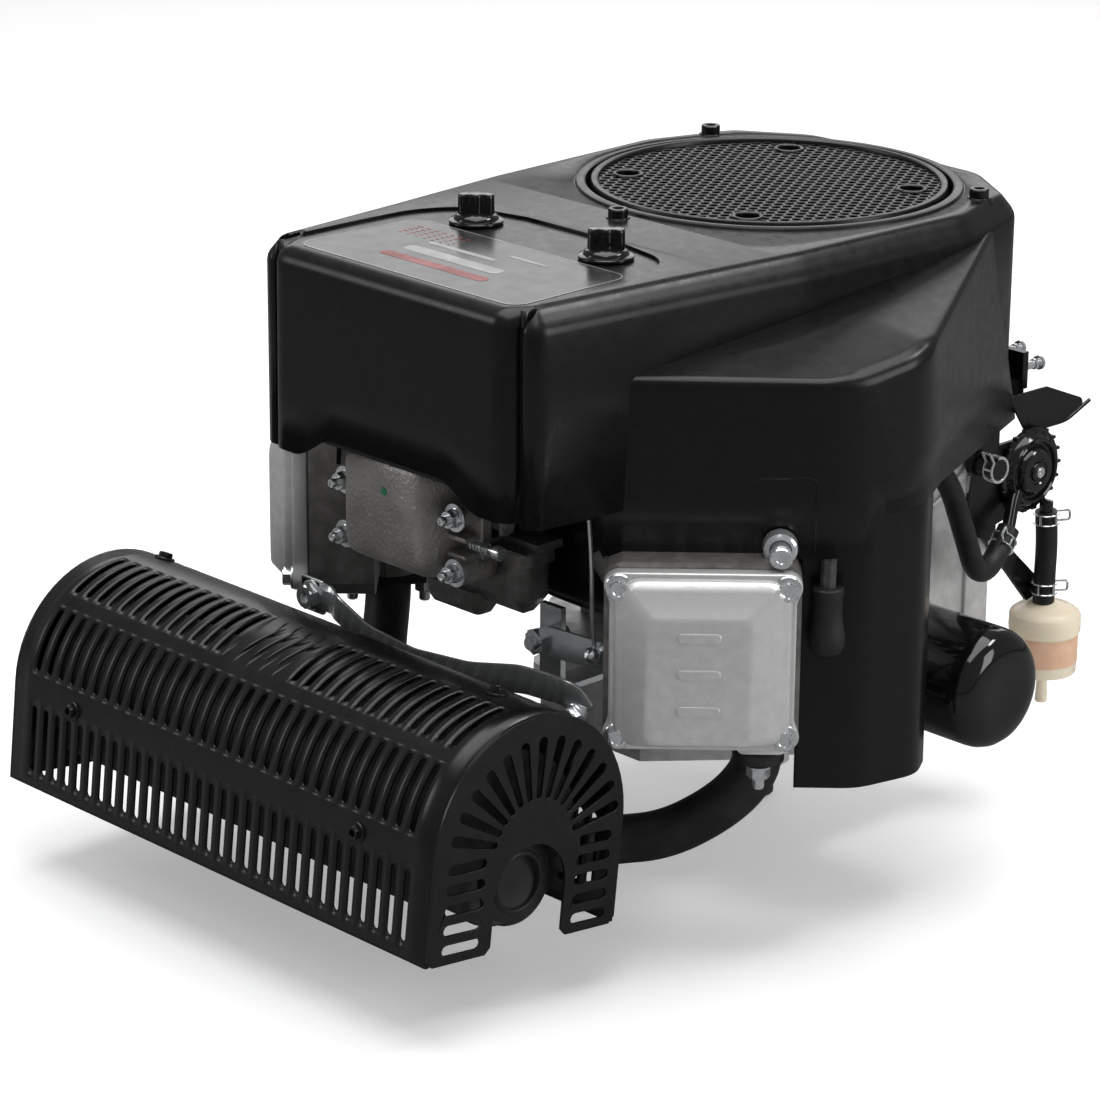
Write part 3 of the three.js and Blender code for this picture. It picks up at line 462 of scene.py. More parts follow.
def make_finish(name, shade_a, shade_b, rough=(0.35, 0.45), metal=0.0, grain=800.0, coarse=0.3, relief=0.05,
                depth=0.2, specular=0.5, coat=0.0, transmission=0.0, subsurface=0.0):
    """A finish: two shades, a roughness range and a relief, all from the grain and drift groups."""
    mat = bpy.data.materials.new(name)
    mat.use_nodes = True
    tree = mat.node_tree
    shader = tree.nodes["Principled BSDF"]
    where = tree.nodes.new("ShaderNodeTexCoord")
    texture = tree.nodes.new("ShaderNodeGroup")
    texture.node_tree = GROUPS["grain"]
    texture.inputs["Scale"].default_value = grain
    texture.inputs["Coarse Share"].default_value = coarse
    drift = tree.nodes.new("ShaderNodeGroup")
    drift.node_tree = GROUPS["drift"]
    drift.inputs["Shade A"].default_value = (*shade_a, 1)
    drift.inputs["Shade B"].default_value = (*shade_b, 1)
    rougher = tree.nodes.new("ShaderNodeMapRange")
    rougher.inputs["From Min"].default_value = 0.3
    rougher.inputs["From Max"].default_value = 0.7
    rougher.inputs["To Min"].default_value = rough[0]
    rougher.inputs["To Max"].default_value = rough[1]
    bump = tree.nodes.new("ShaderNodeBump")
    bump.inputs["Strength"].default_value = relief
    bump.inputs["Distance"].default_value = depth / MM
    link = tree.links.new
    link(where.outputs["Object"], texture.inputs["Vector"])
    link(texture.outputs["Mask"], drift.inputs["Mask"])
    link(drift.outputs["Colour"], shader.inputs["Base Color"])
    link(texture.outputs["Mask"], rougher.inputs["Value"])
    link(rougher.outputs["Result"], shader.inputs["Roughness"])
    link(texture.outputs["Height"], bump.inputs["Height"])
    link(bump.outputs["Normal"], shader.inputs["Normal"])
    shader.inputs["Metallic"].default_value = metal
    shader.inputs["Specular IOR Level"].default_value = specular
    shader.inputs["Coat Weight"].default_value = coat
    shader.inputs["Coat Roughness"].default_value = 0.08
    shader.inputs["Transmission Weight"].default_value = transmission
    if subsurface:
        shader.inputs["Subsurface Weight"].default_value = subsurface
        shader.inputs["Subsurface Radius"].default_value = (0.01, 0.007, 0.004)
    FINISHES[name] = mat
    return mat


def grey(value, warm=0.0):
    return (value * (1 + warm), value, value * (1 - warm))


GROUPS = {}


def make_finishes(look):
    GROUPS["grain"] = grain_group()
    GROUPS["drift"] = drift_group()
    plastic, cast = tuple(look.plastic_colour), tuple(look.casting_colour)
    bright = tuple(look.bright_casting_colour)
    fade = lambda colour, k: tuple(c * k for c in colour)
    make_finish("moulding", plastic, fade(plastic, 1.2), (0.26, 0.33), grain=1100, relief=0.08, depth=0.1,
                specular=0.36)
    make_finish("edge_gloss", plastic, fade(plastic, 1.3), (0.10, 0.16), grain=500, relief=0.02,
                specular=0.6)
    make_finish("black_metal", grey(0.005), grey(0.007), (0.24, 0.32), grain=650, relief=0.05, depth=0.1,
                specular=0.42)
    make_finish("exhaust_black", grey(0.008), grey(0.02, 0.04), (0.42, 0.58), grain=420, relief=0.12,
                specular=0.4)
    make_finish("gloss_black", grey(0.004), grey(0.007), (0.06, 0.11), grain=300, relief=0.015, specular=0.6)
    make_finish("bright_casting", bright, fade(bright, 0.9), (0.34, 0.46), 0.6, 1300, 0.15, 0.32, 0.15)
    make_finish("case_casting", fade(bright, 0.95), fade(bright, 0.75), (0.4, 0.55), 0.45, 800, 0.3, 0.25,
                0.2)
    make_finish("dark_casting", fade(cast, 0.75), fade(cast, 0.5), (0.34, 0.48), 0.6, 1000, 0.2, 0.35, 0.2)
    make_finish("hammered", fade(cast, 1.1), fade(cast, 0.8), (0.3, 0.42), 0.6, 430, 0.12, 0.9, 0.9)
    make_finish("zinc", (0.86, 0.88, 0.9), (0.72, 0.74, 0.75), (0.16, 0.26), 0.85, 500, 0.4, 0.06, 0.1)
    make_finish("dark_steel", grey(0.10), grey(0.06), (0.24, 0.36), 0.9, 500, 0.3, 0.08, 0.1)
    make_finish("iron", grey(0.18), grey(0.12), (0.4, 0.55), 0.9, 700, 0.3, 0.2, 0.15)
    make_finish("rubber", grey(0.008), grey(0.016), (0.42, 0.55), grain=700, relief=0.12, depth=0.15,
                specular=0.4)
    make_finish("gasket", grey(0.03), grey(0.05), (0.5, 0.6), grain=900, relief=0.2)
    make_finish("paper", (0.62, 0.5, 0.3), (0.5, 0.38, 0.22), (0.7, 0.85), grain=500, relief=0.3)
    make_finish("cream_plastic", (0.87, 0.78, 0.62), (0.82, 0.72, 0.56), (0.22, 0.34), grain=400,
                relief=0.03, subsurface=0.5)
    make_finish("filter_element", (0.80, 0.52, 0.36), (0.74, 0.45, 0.3), (0.4, 0.5), grain=900, relief=0.1,
                subsurface=0.4)
    make_finish("braid", grey(0.07), grey(0.035), (0.45, 0.6), grain=1500, relief=0.3, depth=0.2)
    make_finish("panel", grey(0.018), grey(0.024), (0.2, 0.27), grain=700, relief=0.04, specular=0.5)
    make_finish("silver_line", grey(0.32), grey(0.26), (0.25, 0.35), 0.4, 600, 0.2, 0.03)
    make_finish("grey_print", grey(0.30), grey(0.24), (0.3, 0.4), 0.0, 600, 0.2, 0.03)
    make_finish("red_print", (0.22, 0.012, 0.012), (0.16, 0.01, 0.01), (0.3, 0.4), 0.0, 600, 0.2, 0.03)
    make_finish("label", grey(0.62), grey(0.55), (0.35, 0.45), 0.0, 600, 0.2, 0.03)
    make_finish("green_mark", (0.01, 0.25, 0.10), (0.01, 0.19, 0.08), (0.35, 0.5), 0.0, 900, 0.2, 0.1)
    make_finish("ceramic", grey(0.75), grey(0.65), (0.12, 0.2), 0.0, 400, 0.2, 0.03)


# Which finish each frame node takes where it is shown as it is.
NODE_FINISH = {
    "sump": "case_casting", "crankcase": "case_casting", "head_gasket": "gasket",
               "cylinder_head": "dark_casting",
    "spark_plug": "zinc", "ignition_coil": "gloss_black", "piston": "bright_casting",
               "connecting_rod": "case_casting",
    "crankshaft": "iron", "crank_gear": "iron", "camshaft": "iron", "flywheel": "case_casting",
               "ring_gear": "zinc",
    "cooling_fan": "moulding", "stator": "iron", "air_cleaner_base": "moulding", "air_filter": "paper",
    "carburettor": "dark_casting", "throttle_shaft": "zinc", "choke_shaft": "zinc",
               "intake_manifold": "dark_casting",
    "governor": "zinc", "pump_bracket": "black_metal", "regulator": "black_metal",
               "starter_motor": "black_metal",
    "starter_pinion": "zinc", "silencer": "exhaust_black",
}


def finish_nodes():
    """Gives every frame node a procedural finish in place of its plain one."""
    for name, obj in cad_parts.items():
        stem = max((s for s in NODE_FINISH if name.startswith(s)), key=len, default=None)
        mat = FINISHES[NODE_FINISH.get(stem, "dark_steel")]
        if obj.data.materials:
            for k in range(len(obj.data.materials)):
                obj.data.materials[k] = mat
        else:
            obj.data.materials.append(mat)


# ---- Blower housing ------------------------------------------------------------------------------
PLAN = [(104.8, -307.6), (114, -308), (119, -257), (124, -204), (134, -112), (140, 27), (120, 91), (73, 122),
        (0, 126)]
SEAM = [(104.3, -307), (104.2, -250), (102, -204), (85, -175), (40, -166)]


def both_sides(points):
    """A right-hand plan, running backwards from the front, closed by its mirror image."""
    return list(points) + [(-x, y) for x, y in reversed(points) if x]


def shoulder_height(inset):
    """Height of the housing's skin at a distance in from its wall: up the wall, over the shoulder, then
    flat."""
    return np.interp(inset, [0, 0.5, 1.6, 7.2, 8.8, 10.5], [346.5, 349.2, 351.2, 358.2, 359.6, TOP])


def housing_shell():
    """The body of the housing: a wall with a rounded shoulder, the flat top, and the wall of the cleaner
    opening."""
    corners = both_sides(PLAN)
    radii = [0.3, 7, 60, 70, 90, 45, 26, 40, 200, 40, 26, 45, 90, 70, 60, 7, 0.3]
    ring = rounded(corners, radii, 0, 9)
    outer = resample(ring[8:-8], 4.0)
    normal = outward(outer)
    seam_right = resample(bent(SEAM, 16), 3.0)
    seam_x = lambda y: np.interp(y, seam_right[:, 1], seam_right[:, 0])
    width = np.where(outer[:, 1] < -200, (np.abs(outer[:, 0]) - seam_x(outer[:, 1])) * 0.97, 99.0)
    steps = np.array([0, 0, 0.25, 0.5, 1.0, 1.6, 3.5, 5.5, 7.2, 8.0, 8.8, 9.6, 10.5])
    inset = np.minimum(steps[:, None], width[None, :])
    height = shoulder_height(inset)
    height[0] = 235.0
    plan = outer[None] - normal[None] * inset[..., None]
    wall = grid(np.concatenate([plan, height[..., None]], -1), False)
    edge_y = outer[:, 1][(width >= 10.5) & (outer[:, 0] > 0)].min()
    keep = outer[:, 1] >= edge_y
    loop = plan[-1][keep]
    seam = np.vstack([seam_right, (seam_right * [-1, 1])[::-1]])
    inner = seam[seam[:, 1] >= edge_y]
    top = plate(np.vstack([loop, inner[::-1]]), [circle(120.5, 72)], TOP, TOP + 1)
    flat = [f for f in top[1] if all(i >= len(top[0]) // 2 for i in f)]
    top = (top[0] - [0, 0, 1.0], flat)
    gap = (np.interp(seam[:, 1], PLAN_Y[1:], PLAN_X[1:]) - np.abs(seam[:, 0])) * 0.97
    head = np.where(seam[:, 1] < edge_y + 4, shoulder_height(np.minimum(gap, 10.5)), TOP)
    rim = np.stack([np.column_stack([seam, head]), np.column_stack([seam, np.full(len(seam), 332.0)])])
    return [wall, top, grid(rim, False)]


PLAN_Y = [p[1] for p in PLAN]
PLAN_X = [p[0] for p in PLAN]


def bulge():
    """The duct over a head. Its wall follows the plan A-B-C-D upwards, turns over a rounded edge, and the
    roof runs in to the housing's wall; every height is a straight blend between its corners'."""
    low = bent([(115, -255), (120, -250), (213, -157), (225, -104), (120, 102)], 15, 9)
    high = bent([(105, -258.6), (112, -252), (213, -157), (225, -104), (134, 56)], 15, 9)
    count = 150
    share = lambda line: np.append(0, np.cumsum(np.linalg.norm(np.diff(line, axis=0), axis=1)))
    at = np.linspace(0, 1, count)
    low_at, high_at = share(low) / share(low)[-1], share(high) / share(high)[-1]
    foot = np.column_stack([np.interp(at, low_at, low[:, k]) for k in (0, 1)])
    brow = np.column_stack([np.interp(at, high_at, high[:, k]) for k in (0, 1)])
    key = [0, share(high)[10] / share(high)[-1], 0.40, 0.545, 1]
    z_high = np.interp(at, key, [312.5, 313, 315, 326, 348.5])
    z_low = np.interp(at, [0, 0.375, 0.385, 0.54, 0.75, 1], [208, 208, 230, 234, 226, 216])
    edge = np.interp(at, [0, 0.36, 0.42, 0.53, 0.57, 1], [4, 4, 8.5, 8.5, 4, 3])
    inner_y = np.interp(at, [0, 1], [-256, 52])
    inner_x = np.interp(inner_y, PLAN_Y[1:], PLAN_X[1:]) - 3
    roof = np.column_stack([inner_x, inner_y])
    roof_z = 313 - (2642 * (inner_x - 112) - 3374 * (inner_y + 252)) / 26844
    lean = outward(brow)
    rows = [np.column_stack([foot, z_low])]
    for t in (0.35, 0.7, 0.93):
        rows.append(np.column_stack([foot + (brow - foot) * t, z_low + (z_high - edge - z_low) * t]))
    slope = roof - brow
    reach = np.linalg.norm(slope, axis=1)
    for a in np.linspace(0, math.pi / 2, 7):
        side, rise = edge * (1 - math.cos(a)), edge * (math.sin(a) - 1)
        rows.append(np.column_stack([brow - lean * side[:, None],
                                     z_high + rise + side * (roof_z - z_high) / reach]))
    start = brow - lean * edge[:, None]
    for t in (0.04, 0.3, 0.65, 1.0):
        rows.append(np.column_stack([start + (roof - start) * t,
                                     z_high + edge * (roof_z - z_high) / reach + (roof_z - z_high)
                                     * (1 - edge / reach) * t]))
    return grid(np.stack(rows), False)


def housing_details():
    """Lip round the screen, screw bosses with their socket screws, and the raised outline on the front
    face."""
    lip = ring_turned([(113.0, 346), (118.5, 346), (122.6, 357), (122.6, 361.0), (121.8, 361.8),
                       (119.8, 361.8), (119.4, 362.6), (118.8, 363.6), (117.6, 364.1), (114.4, 364.1),
                       (113.4, 363.4), (113.0, 362.2)], 96)
    parts, screws = [lip], []
    for angle in (-90, 30, 150):
        x, y = 131 * math.cos(math.radians(angle)), 131 * math.sin(math.radians(angle))
        boss = turned([(9.5, 356), (9.0, 360.2), (7.8, 361.6), (7.4, 362.6), (6.9, 363.2), (0, 363.2)], 28)
        screw = turned([(5.9, 362.8), (6.0, 363.4), (6.0, 368.0), (5.5, 368.6), (3.4, 368.6), (3.1, 368.2),
                        (3.0, 365.6), (0, 365.6)], 24)
        parts.append(placed(boss, (x, y, 0)))
        screws.append(placed(screw, (x, y, 0)))
    return parts, screws


def build_housing(shape):
    """The shell, a duct on each side, the lip and its screws, the outline on the duct's front, and a
    blank tag."""
    wall = shape.wall * MM
    parts, screws = housing_details()
    right = bulge()
    piece("housing_top", housing_shell(), "moulding", stands_for="blower_housing",
          wall=wall, merge=0.02, sharp=50)
    for name, duct in (("right", right), ("left", mirrored(right))):
        piece(f"housing_duct_{name}", [duct], "moulding", wall=wall, sharp=50, recalc=False)
    piece("housing_lip", parts, "moulding", sharp=28)
    piece("housing_screws", screws, "black_metal", sharp=28)
    out = np.array([0.685, -0.7285, 0])
    line = np.array([0.7285, 0.685, 0])
    base = np.array([112, -252, 0.0]) + out * 0.1
    route = [(80, 205), (85.5, 255.3), (122, 256.2), (121, 212)]
    path = np.array([base + line * s + UP * z for s, z in bent(route, 5, 7)])
    bead = swept(resample(path, 3), circle(0.7, 8), up=out)
    piece("housing_outline", [bead], "moulding")
    partition = soft_block(rectangle(0, -138.2, 112, 1.6), 0.8, 252, 357, 0.5, 3)
    piece("housing_partition", [partition], "moulding")
    side = np.array([0.869, 0.494, 0])
    run = np.array([-0.494, 0.869, 0])
    tag = soft_block(rectangle(0, 0, 15, 7.5), 1, 0, 0.35, 0.1, 3)
    tag = placed(tag, np.array([225, -104, 303]) + run * 88 + side * -0.9, run, UP, side)
    piece("housing_tag", [tag], "label")


# ---- Debris screen -------------------------------------------------------------------------------
def build_screen(shape):
    """A disc of six-sided cells with a round hole in each, clamped to a circle, with four larger holes
    and a rim."""
    low, high = place_of("debris_screen")
    radius = (high[0] - low[0]) / 2
    top = high[2]
    pitch, hole = shape.pitch * MM, shape.hole * MM / 2
    rows = int(radius / (pitch * 0.866)) + 1
    i, j = np.meshgrid(np.arange(-rows - 8, rows + 9), np.arange(-rows, rows + 1))
    centre = np.column_stack([(i + 0.5 * (j % 2)).ravel() * pitch, (j * pitch * 0.8660254).ravel()])
    inner_r = radius - 4.2
    centre = centre[np.hypot(*centre.T) < inner_r + pitch * 0.45]
    a = arc_angles(12)
    flat = (pitch / 2) / np.cos((a + math.pi / 6) % (math.pi / 3) - math.pi / 6)
    cell_out = np.column_stack([flat * np.cos(a), flat * np.sin(a)])
    cell_in = hole * np.column_stack([np.cos(a), np.sin(a)])
    pts = centre[:, None, None] + np.stack([cell_out, cell_in])[None]
    big = [(88.3 * math.cos(math.radians(35 + 90 * k)),
            88.3 * math.sin(math.radians(35 + 90 * k))) for k in range(4)]
    for x, y in big:
        off = pts - np.array([x, y])
        dist = np.maximum(np.linalg.norm(off, axis=-1, keepdims=True), 1e-6)
        pts = np.where(dist < 9.4, np.array([x, y]) + off / dist * 9.4, pts)
    dist = np.linalg.norm(pts, axis=-1, keepdims=True)
    pts = np.where(dist > inner_r, pts / dist * inner_r, pts)
    count = len(centre)
    ids = np.arange(count * 24).reshape(count, 2, 12)
    nxt = np.roll(ids, -1, 2)
    quads = np.stack([ids[:, 1], ids[:, 0], nxt[:, 0], nxt[:, 1]], -1).reshape(-1, 4)
    verts = pts.reshape(-1, 2)
    x, y = verts[quads, 0], verts[quads, 1]
    area = (x * np.roll(y, -1, 1) - np.roll(x, -1, 1) * y).sum(1)
    quads = quads[np.abs(area) > 0.02]
    used, index = np.unique(quads, return_inverse=True)
    sheet = (np.column_stack([verts[used], np.full(len(used), top - 2.4)]),
             [tuple(q) for q in index.reshape(-1, 4).tolist()])
    piece("screen_mesh", [sheet], "moulding", "crank", "debris_screen", wall=0.8, merge=0.05,
          recalc=False, sharp=40)
    rim = ring_turned([(radius - 4.6, top - 4.6), (radius - 0.2, top - 18), (radius, top - 18),
                       (radius, top - 1.2), (radius - 0.5, top - 0.3), (radius - 1.3, top),
                       (radius - 3.2, top), (radius - 4.2, top - 0.6),
                       (radius - 4.6, top - 1.6)], 96)
    collars = [placed(ring_turned([(7.2, top - 5), (9.7, top - 5), (9.7, top - 1.9), (9.0, top - 1.3),
                                   (7.9, top - 1.3), (7.2, top - 1.9)], 32), (x, y, 0)) for x, y in big]
    posts = [placed(turned([(5.5, 332), (5.5, top - 12), (7, top - 6), (0, top - 6)], 20),
                    (60 * math.cos(t), 60 * math.sin(t), 0)) for t in np.radians([80, 170, 260, 350])]
    piece("screen_rim", [rim] + collars + posts, "moulding", "crank", sharp=30)


# ---- Air cleaner cover and knobs -------------------------------------------------------------------
COVER = [(103.2, -318), (103.2, -250), (101, -205), (84.2, -176.2), (39.6, -167.2)]


def build_cover(shape):
    """A closed plan lofted upwards; its bottom edge arches at the front, and its top edge is round there."""
    corners = both_sides(COVER)
    radii = [14, 40, 18, 18, 18, 18, 18, 18, 40, 14]
    outline = resample(rounded(corners, radii, 0, 9), 3.0, True)
    d = np.roll(outline, -1, 0) - np.roll(outline, 1, 0)
    d /= np.linalg.norm(d, axis=1)[:, None]
    normal = np.column_stack([d[:, 1], -d[:, 0]])
    x, y = outline.T
    front = np.clip((-287 - y) / 24, 0, 1)
    front = front * front * (3 - 2 * front)
    edge = 1.4 + (shape.front_edge * MM - 1.4) * front
    arch = np.clip((np.abs(x) - 46) / 34, 0, 1)
    arch = arch * arch * (3 - 2 * arch)
    bottom = np.where(y < -300, 252 - 15 * arch, 252 - 15 * np.clip((-262 - y) / 30, 0, 1))
    rows = [np.column_stack([outline, bottom])]
    for t in (0.3, 0.6, 0.85, 1.0):
        rows.append(np.column_stack([outline - normal * (0.8 * t * front)[:, None],
                                     bottom + (TOP - edge - bottom) * t]))
    for a in np.linspace(0.2, math.pi / 2, 8):
        side = 0.8 * front + edge * (1 - math.cos(a))
        rows.append(np.column_stack([outline - normal * side[:, None], TOP - edge * (1 - math.sin(a))]))
    for extra in (1.0, 3.0):
        rows.append(np.column_stack([outline - normal * (0.8 * front + edge + extra)[:, None],
                                     np.full(len(x), TOP)]))
    shell = grid(np.stack(rows), True, (False, True))
    piece("cleaner_cover", [shell], "moulding", "cleaner_cover", "air_cleaner_cover",
          wall=2.5, sharp=60)
    badge = [(-92, -305), (95, -305), (93, -213), (-86, -213)]
    ring = plate(rounded(badge, 11, 0, 8), [rounded(badge, 11, 0.9, 8)], TOP + 0.05, TOP + 0.3)
    piece("badge_border", [ring], "silver_line", "cleaner_cover")
    sheet = moulded(badge, 11, [(1.1, TOP + 0.02), (1.1, TOP + 0.22)], 8)
    piece("badge_sheet", [sheet], "panel", "cleaner_cover")
    bars = [(-2, -262, 40, 5.2), (-12, -246, 28, 2.2), (30, -233, 16, 1.4)]
    pale = [moulded(rectangle(cx, cy, hx, hy), hy * 0.9, [(0, TOP + 0.2), (0, TOP + 0.34)], 5) for cx, cy,
            hx, hy in bars]
    piece("badge_stripes_pale", pale, "grey_print", "cleaner_cover")
    dots = [placed(moulded(rectangle(0, 0, 2.2 - 0.16 * (p + q), 0.9), 0.8,
                           [(0, TOP + 0.2), (0, TOP + 0.34)], 3),
                   (-70 + 7 * p, -226 - 4 * q, 0)) for p in range(7) for q in range(5)]
    bar = moulded(rectangle(0, -279, 44, 4.2), 3.8, [(0, TOP + 0.2), (0, TOP + 0.34)], 5)
    piece("badge_stripes_red", [bar] + dots, "red_print", "cleaner_cover")
    for name in ("left", "right"):
        build_knob(name)


def build_knob(name):
    """A stepped flange under a flat bar of a grip. The bar's half thickness rises and falls in three
    waves along its length, and its rings draw in at the crown."""
    low, high = place_of(f"knob_{name}")
    x, y = (low[:2] + high[:2]) / 2
    base, crown = low[2], min(high[2], 378.0)
    flange = turned([(14.5, base), (16.3, base + 0.4), (16.5, base + 1.0), (16.3, base + 1.9),
                     (15.4, base + 2.3), (13.6, base + 2.5), (13.2, base + 3.2), (12.6, base + 4.6),
                     (11.0, base + 5.6), (8.5, base + 6.4),
                     (8.0, base + 6.6)], 56)
    t = arc_angles(72)
    reach = np.cos(t) * (1 - 0.06 * np.cos(2 * t))
    thick = np.sign(np.sin(t)) * np.abs(np.sin(t)) ** 0.35 * (0.82 + 0.18 * np.cos(reach * 9.0))
    rings, heights = [], []
    for k, h in ((0.97, base + 5), (1.0, base + 7.5), (0.98, crown - 2.2), (0.96, crown - 1.0),
                 (0.9, crown - 0.3), (0.82, crown), (0.6, crown - 0.1)):
        rings.append(np.column_stack([reach * 11.6 * (k * 0.5 + 0.5), thick * 5.1 * k]))
        heights.append(h)
    spin = math.radians(44)
    grip = placed(lofted(rings, heights), (x, y, 0), (math.cos(spin), math.sin(spin), 0),
                  (-math.sin(spin), math.cos(spin), 0))
    piece(f"knob_grip_{name}", [placed(flange, (x, y, 0)), grip], "edge_gloss", f"knob_{name}",
          f"knob_{name}", sharp=40)


# ---- Silencer and its guard -------------------------------------------------------------------------
TILT = math.radians(6.2)
GUARD_R, GUARD_H, GUARD_X = 73.0, 136.6, (-236.0, 147.0)
GUARD_METAL = 1.8


def guard_place(pts):
    """From the guard's own x, depth and height to the engine's."""
    pts = np.asarray(pts, float)
    y, z = pts[..., 1], pts[..., 2]
    return np.stack([pts[..., 0], -419 + y * math.cos(TILT) + z * math.sin(TILT),
                     12.7 - y * math.sin(TILT) + z * math.cos(TILT)], -1)


def guard_skin(x, s, drop=0.0):
    """Point of the bent sheet at length s along its section: up the front leg, over the arch, down the
    back."""
    leg = GUARD_H - GUARD_R
    a = np.clip((s - leg) / GUARD_R, 0, math.pi)
    r = GUARD_R - drop
    y = GUARD_R - r * np.cos(a)
    z = leg + r * np.sin(a)
    z = np.where(s < leg, s, np.where(s > leg + math.pi * GUARD_R, 2 * leg + math.pi * GUARD_R - s, z))
    return guard_place(np.stack([x, y, z], -1))


def slot_cell(width, length, reach_x, reach_s):
    """Ring of quads between a round-ended slot and its rectangular cell, centred on the origin.
    Border points sit where rays from the slot's outline, spread along its length, meet the rectangle."""
    ends = 8
    r = width / 2
    half = length / 2 - r
    sides = 8
    a = np.linspace(0, math.pi, ends + 1)
    up = np.linspace(-half, half, sides + 1)[1:-1]
    inner = np.vstack([
        np.column_stack([r * np.cos(a), half + r * np.sin(a)]),
        np.column_stack([np.full(sides - 1, -r), up[::-1]]),
        np.column_stack([-r * np.cos(a), -half - r * np.sin(a)]),
        np.column_stack([np.full(sides - 1, r), up])])
    outer = inner.copy()
    cap = np.column_stack([reach_x * np.interp(a, [0, math.pi / 4, 3 * math.pi / 4, math.pi],
                                               [1, 1, -1, -1]),
                           np.interp(a, [0, math.pi / 4, 3 * math.pi / 4, math.pi],
                                     [half + 0.25 * r, reach_s, reach_s, half + 0.25 * r])])
    n = ends + 1
    outer[:n] = cap
    outer[n:n + sides - 1, 0] = -reach_x
    outer[n + sides - 1:2 * n + sides - 1] = -cap
    outer[2 * n + sides - 1:, 0] = reach_x
    return inner, outer


def guard_sheet(shape):
    """The bent sheet, made flat in (x, s) from slotted cells and plain cells, then bent by guard_skin."""
    first, last = -215.0, 125.0
    columns = shape.slots
    pitch = (last - first) / (columns - 1)
    rows = [(31.0, 42.0, 26.0), (94.5, 41.0, 24.0), (148.5, 41.0, 24.0), (226.0, 41.0, 26.0),
            (318.0, 44.0, 27.0)]
    xs = first + pitch * np.arange(columns)
    verts, faces = [], []

    def put(points, quads):
        faces.extend(tuple(q) for q in (np.asarray(quads) + sum(len(v) for v in verts)).tolist())
        verts.append(points)

    def flat(x0, x1, s0, s1, nx, ns):
        x, s = np.meshgrid(np.linspace(x0, x1, nx + 1), np.linspace(s0, s1, ns + 1))
        ids = np.arange(x.size).reshape(x.shape)
        quads = np.stack([ids[:-1, :-1], ids[:-1, 1:], ids[1:, 1:], ids[1:, :-1]], -1).reshape(-1, 4)
        put(np.column_stack([x.ravel(), s.ravel()]), quads)

    whole = 2 * (GUARD_H - GUARD_R) + math.pi * GUARD_R
    edges = [0.0]
    for mid, length, reach in rows:
        inner, outer = slot_cell(shape.slot_width * MM, length, pitch / 2, reach)
        m = len(inner)
        for x in xs:
            sign_gap = mid == 148.5 and -68 < x < -18
            if sign_gap or (mid == 226.0 and not -200 < x < 110):
                loop = outer + [x, mid]
                put(np.vstack([loop, [[x, mid]]]), [(i, (i + 1) % m, m, m) for i in range(m)])
                continue
            ids = np.arange(m)
            nxt = np.roll(ids, -1)
            put(np.vstack([inner, outer]) + [x, mid], np.column_stack([ids + m, nxt + m, nxt, ids]))
        edges += [mid - reach, mid + reach]
        side = outer[:, 1][np.isclose(outer[:, 0], pitch / 2)]
        side = np.sort(np.append(side, [reach, -reach]))
        side = np.unique(np.round(side, 6)) + mid
        for x0, x1 in ((GUARD_X[0] + 2, first - pitch / 2), (last + pitch / 2, GUARD_X[1] - 2)):
            for s0, s1 in zip(side[:-1], side[1:]):
                flat(x0, x1, s0, s1, 1, 1)
    edges.append(whole)
    for s0, s1 in zip(edges[0::2], edges[1::2]):
        if s1 - s0 < 0.3:
            continue
        parts = max(1, int((s1 - s0) / 5))
        for x in xs:
            flat(x - pitch / 2, x + pitch / 2, s0, s1, 4, parts)
        for x0, x1 in ((GUARD_X[0] + 2, first - pitch / 2), (last + pitch / 2, GUARD_X[1] - 2)):
            flat(x0, x1, s0, s1, 1, parts)
    flatwork = np.vstack(verts)
    clean = [tuple(dict.fromkeys(f)) for f in faces]
    return guard_skin(flatwork[:, 0], flatwork[:, 1]), clean


def round_slot(x0, y0, x1, y1, w0, w1, steps=5):
    """Outline of a slot from one point to another, with its own round end at each, possibly tapering."""
    p, q = np.array([x0, y0], float), np.array([x1, y1], float)
    t = math.atan2(q[1] - p[1], q[0] - p[0])
    a = np.linspace(-math.pi / 2, math.pi / 2, steps)
    end = q + w1 / 2 * np.column_stack([np.cos(t + a), np.sin(t + a)])
    start = p - w0 / 2 * np.column_stack([np.cos(t + a), np.sin(t + a)])
    return np.vstack([end, start])


def guard_end(cut_out):
    """The end plate in (depth, height): radial slots above, level slots in each leg, and the outlet's
    cut-out."""
    leg = GUARD_H - GUARD_R
    a = np.linspace(0, math.pi, 33)
    arch = np.column_stack([GUARD_R + GUARD_R * np.cos(a), leg + GUARD_R * np.sin(a)])
    outline = np.vstack([[(2 * GUARD_R, 0)], arch, [(0, 0)]])
    holes = []
    if cut_out:
        b = np.linspace(math.pi, 0, 17)
        notch = np.column_stack([75.5 + 27.5 * np.cos(b), 32.5 + 27.5 * np.sin(b)])
        outline = np.vstack([[(2 * GUARD_R - 4, 0), (2 * GUARD_R, 4)], arch, [(0, 4), (4, 0)],
                             [(44, 0), (48, 4)], notch, [(103, 4), (107, 0)]])
        for k in range(13):
            t = math.radians(166 - 152 * k / 12)
            c, s = math.cos(t), math.sin(t)
            holes.append(round_slot(76 + 32 * c, 57 + 32 * s, 76 + 63.5 * c, 57 + 63.5 * s, 4.0, 6.6))
        for k in range(5):
            z = 8.5 + 11.8 * k
            holes.append(round_slot(13.5, z, 36.5, z - 0.2, 6.2, 6.2))
            holes.append(round_slot(113.5, z, 134.5, z - 0.2, 6.2, 6.2))
    return outline, holes


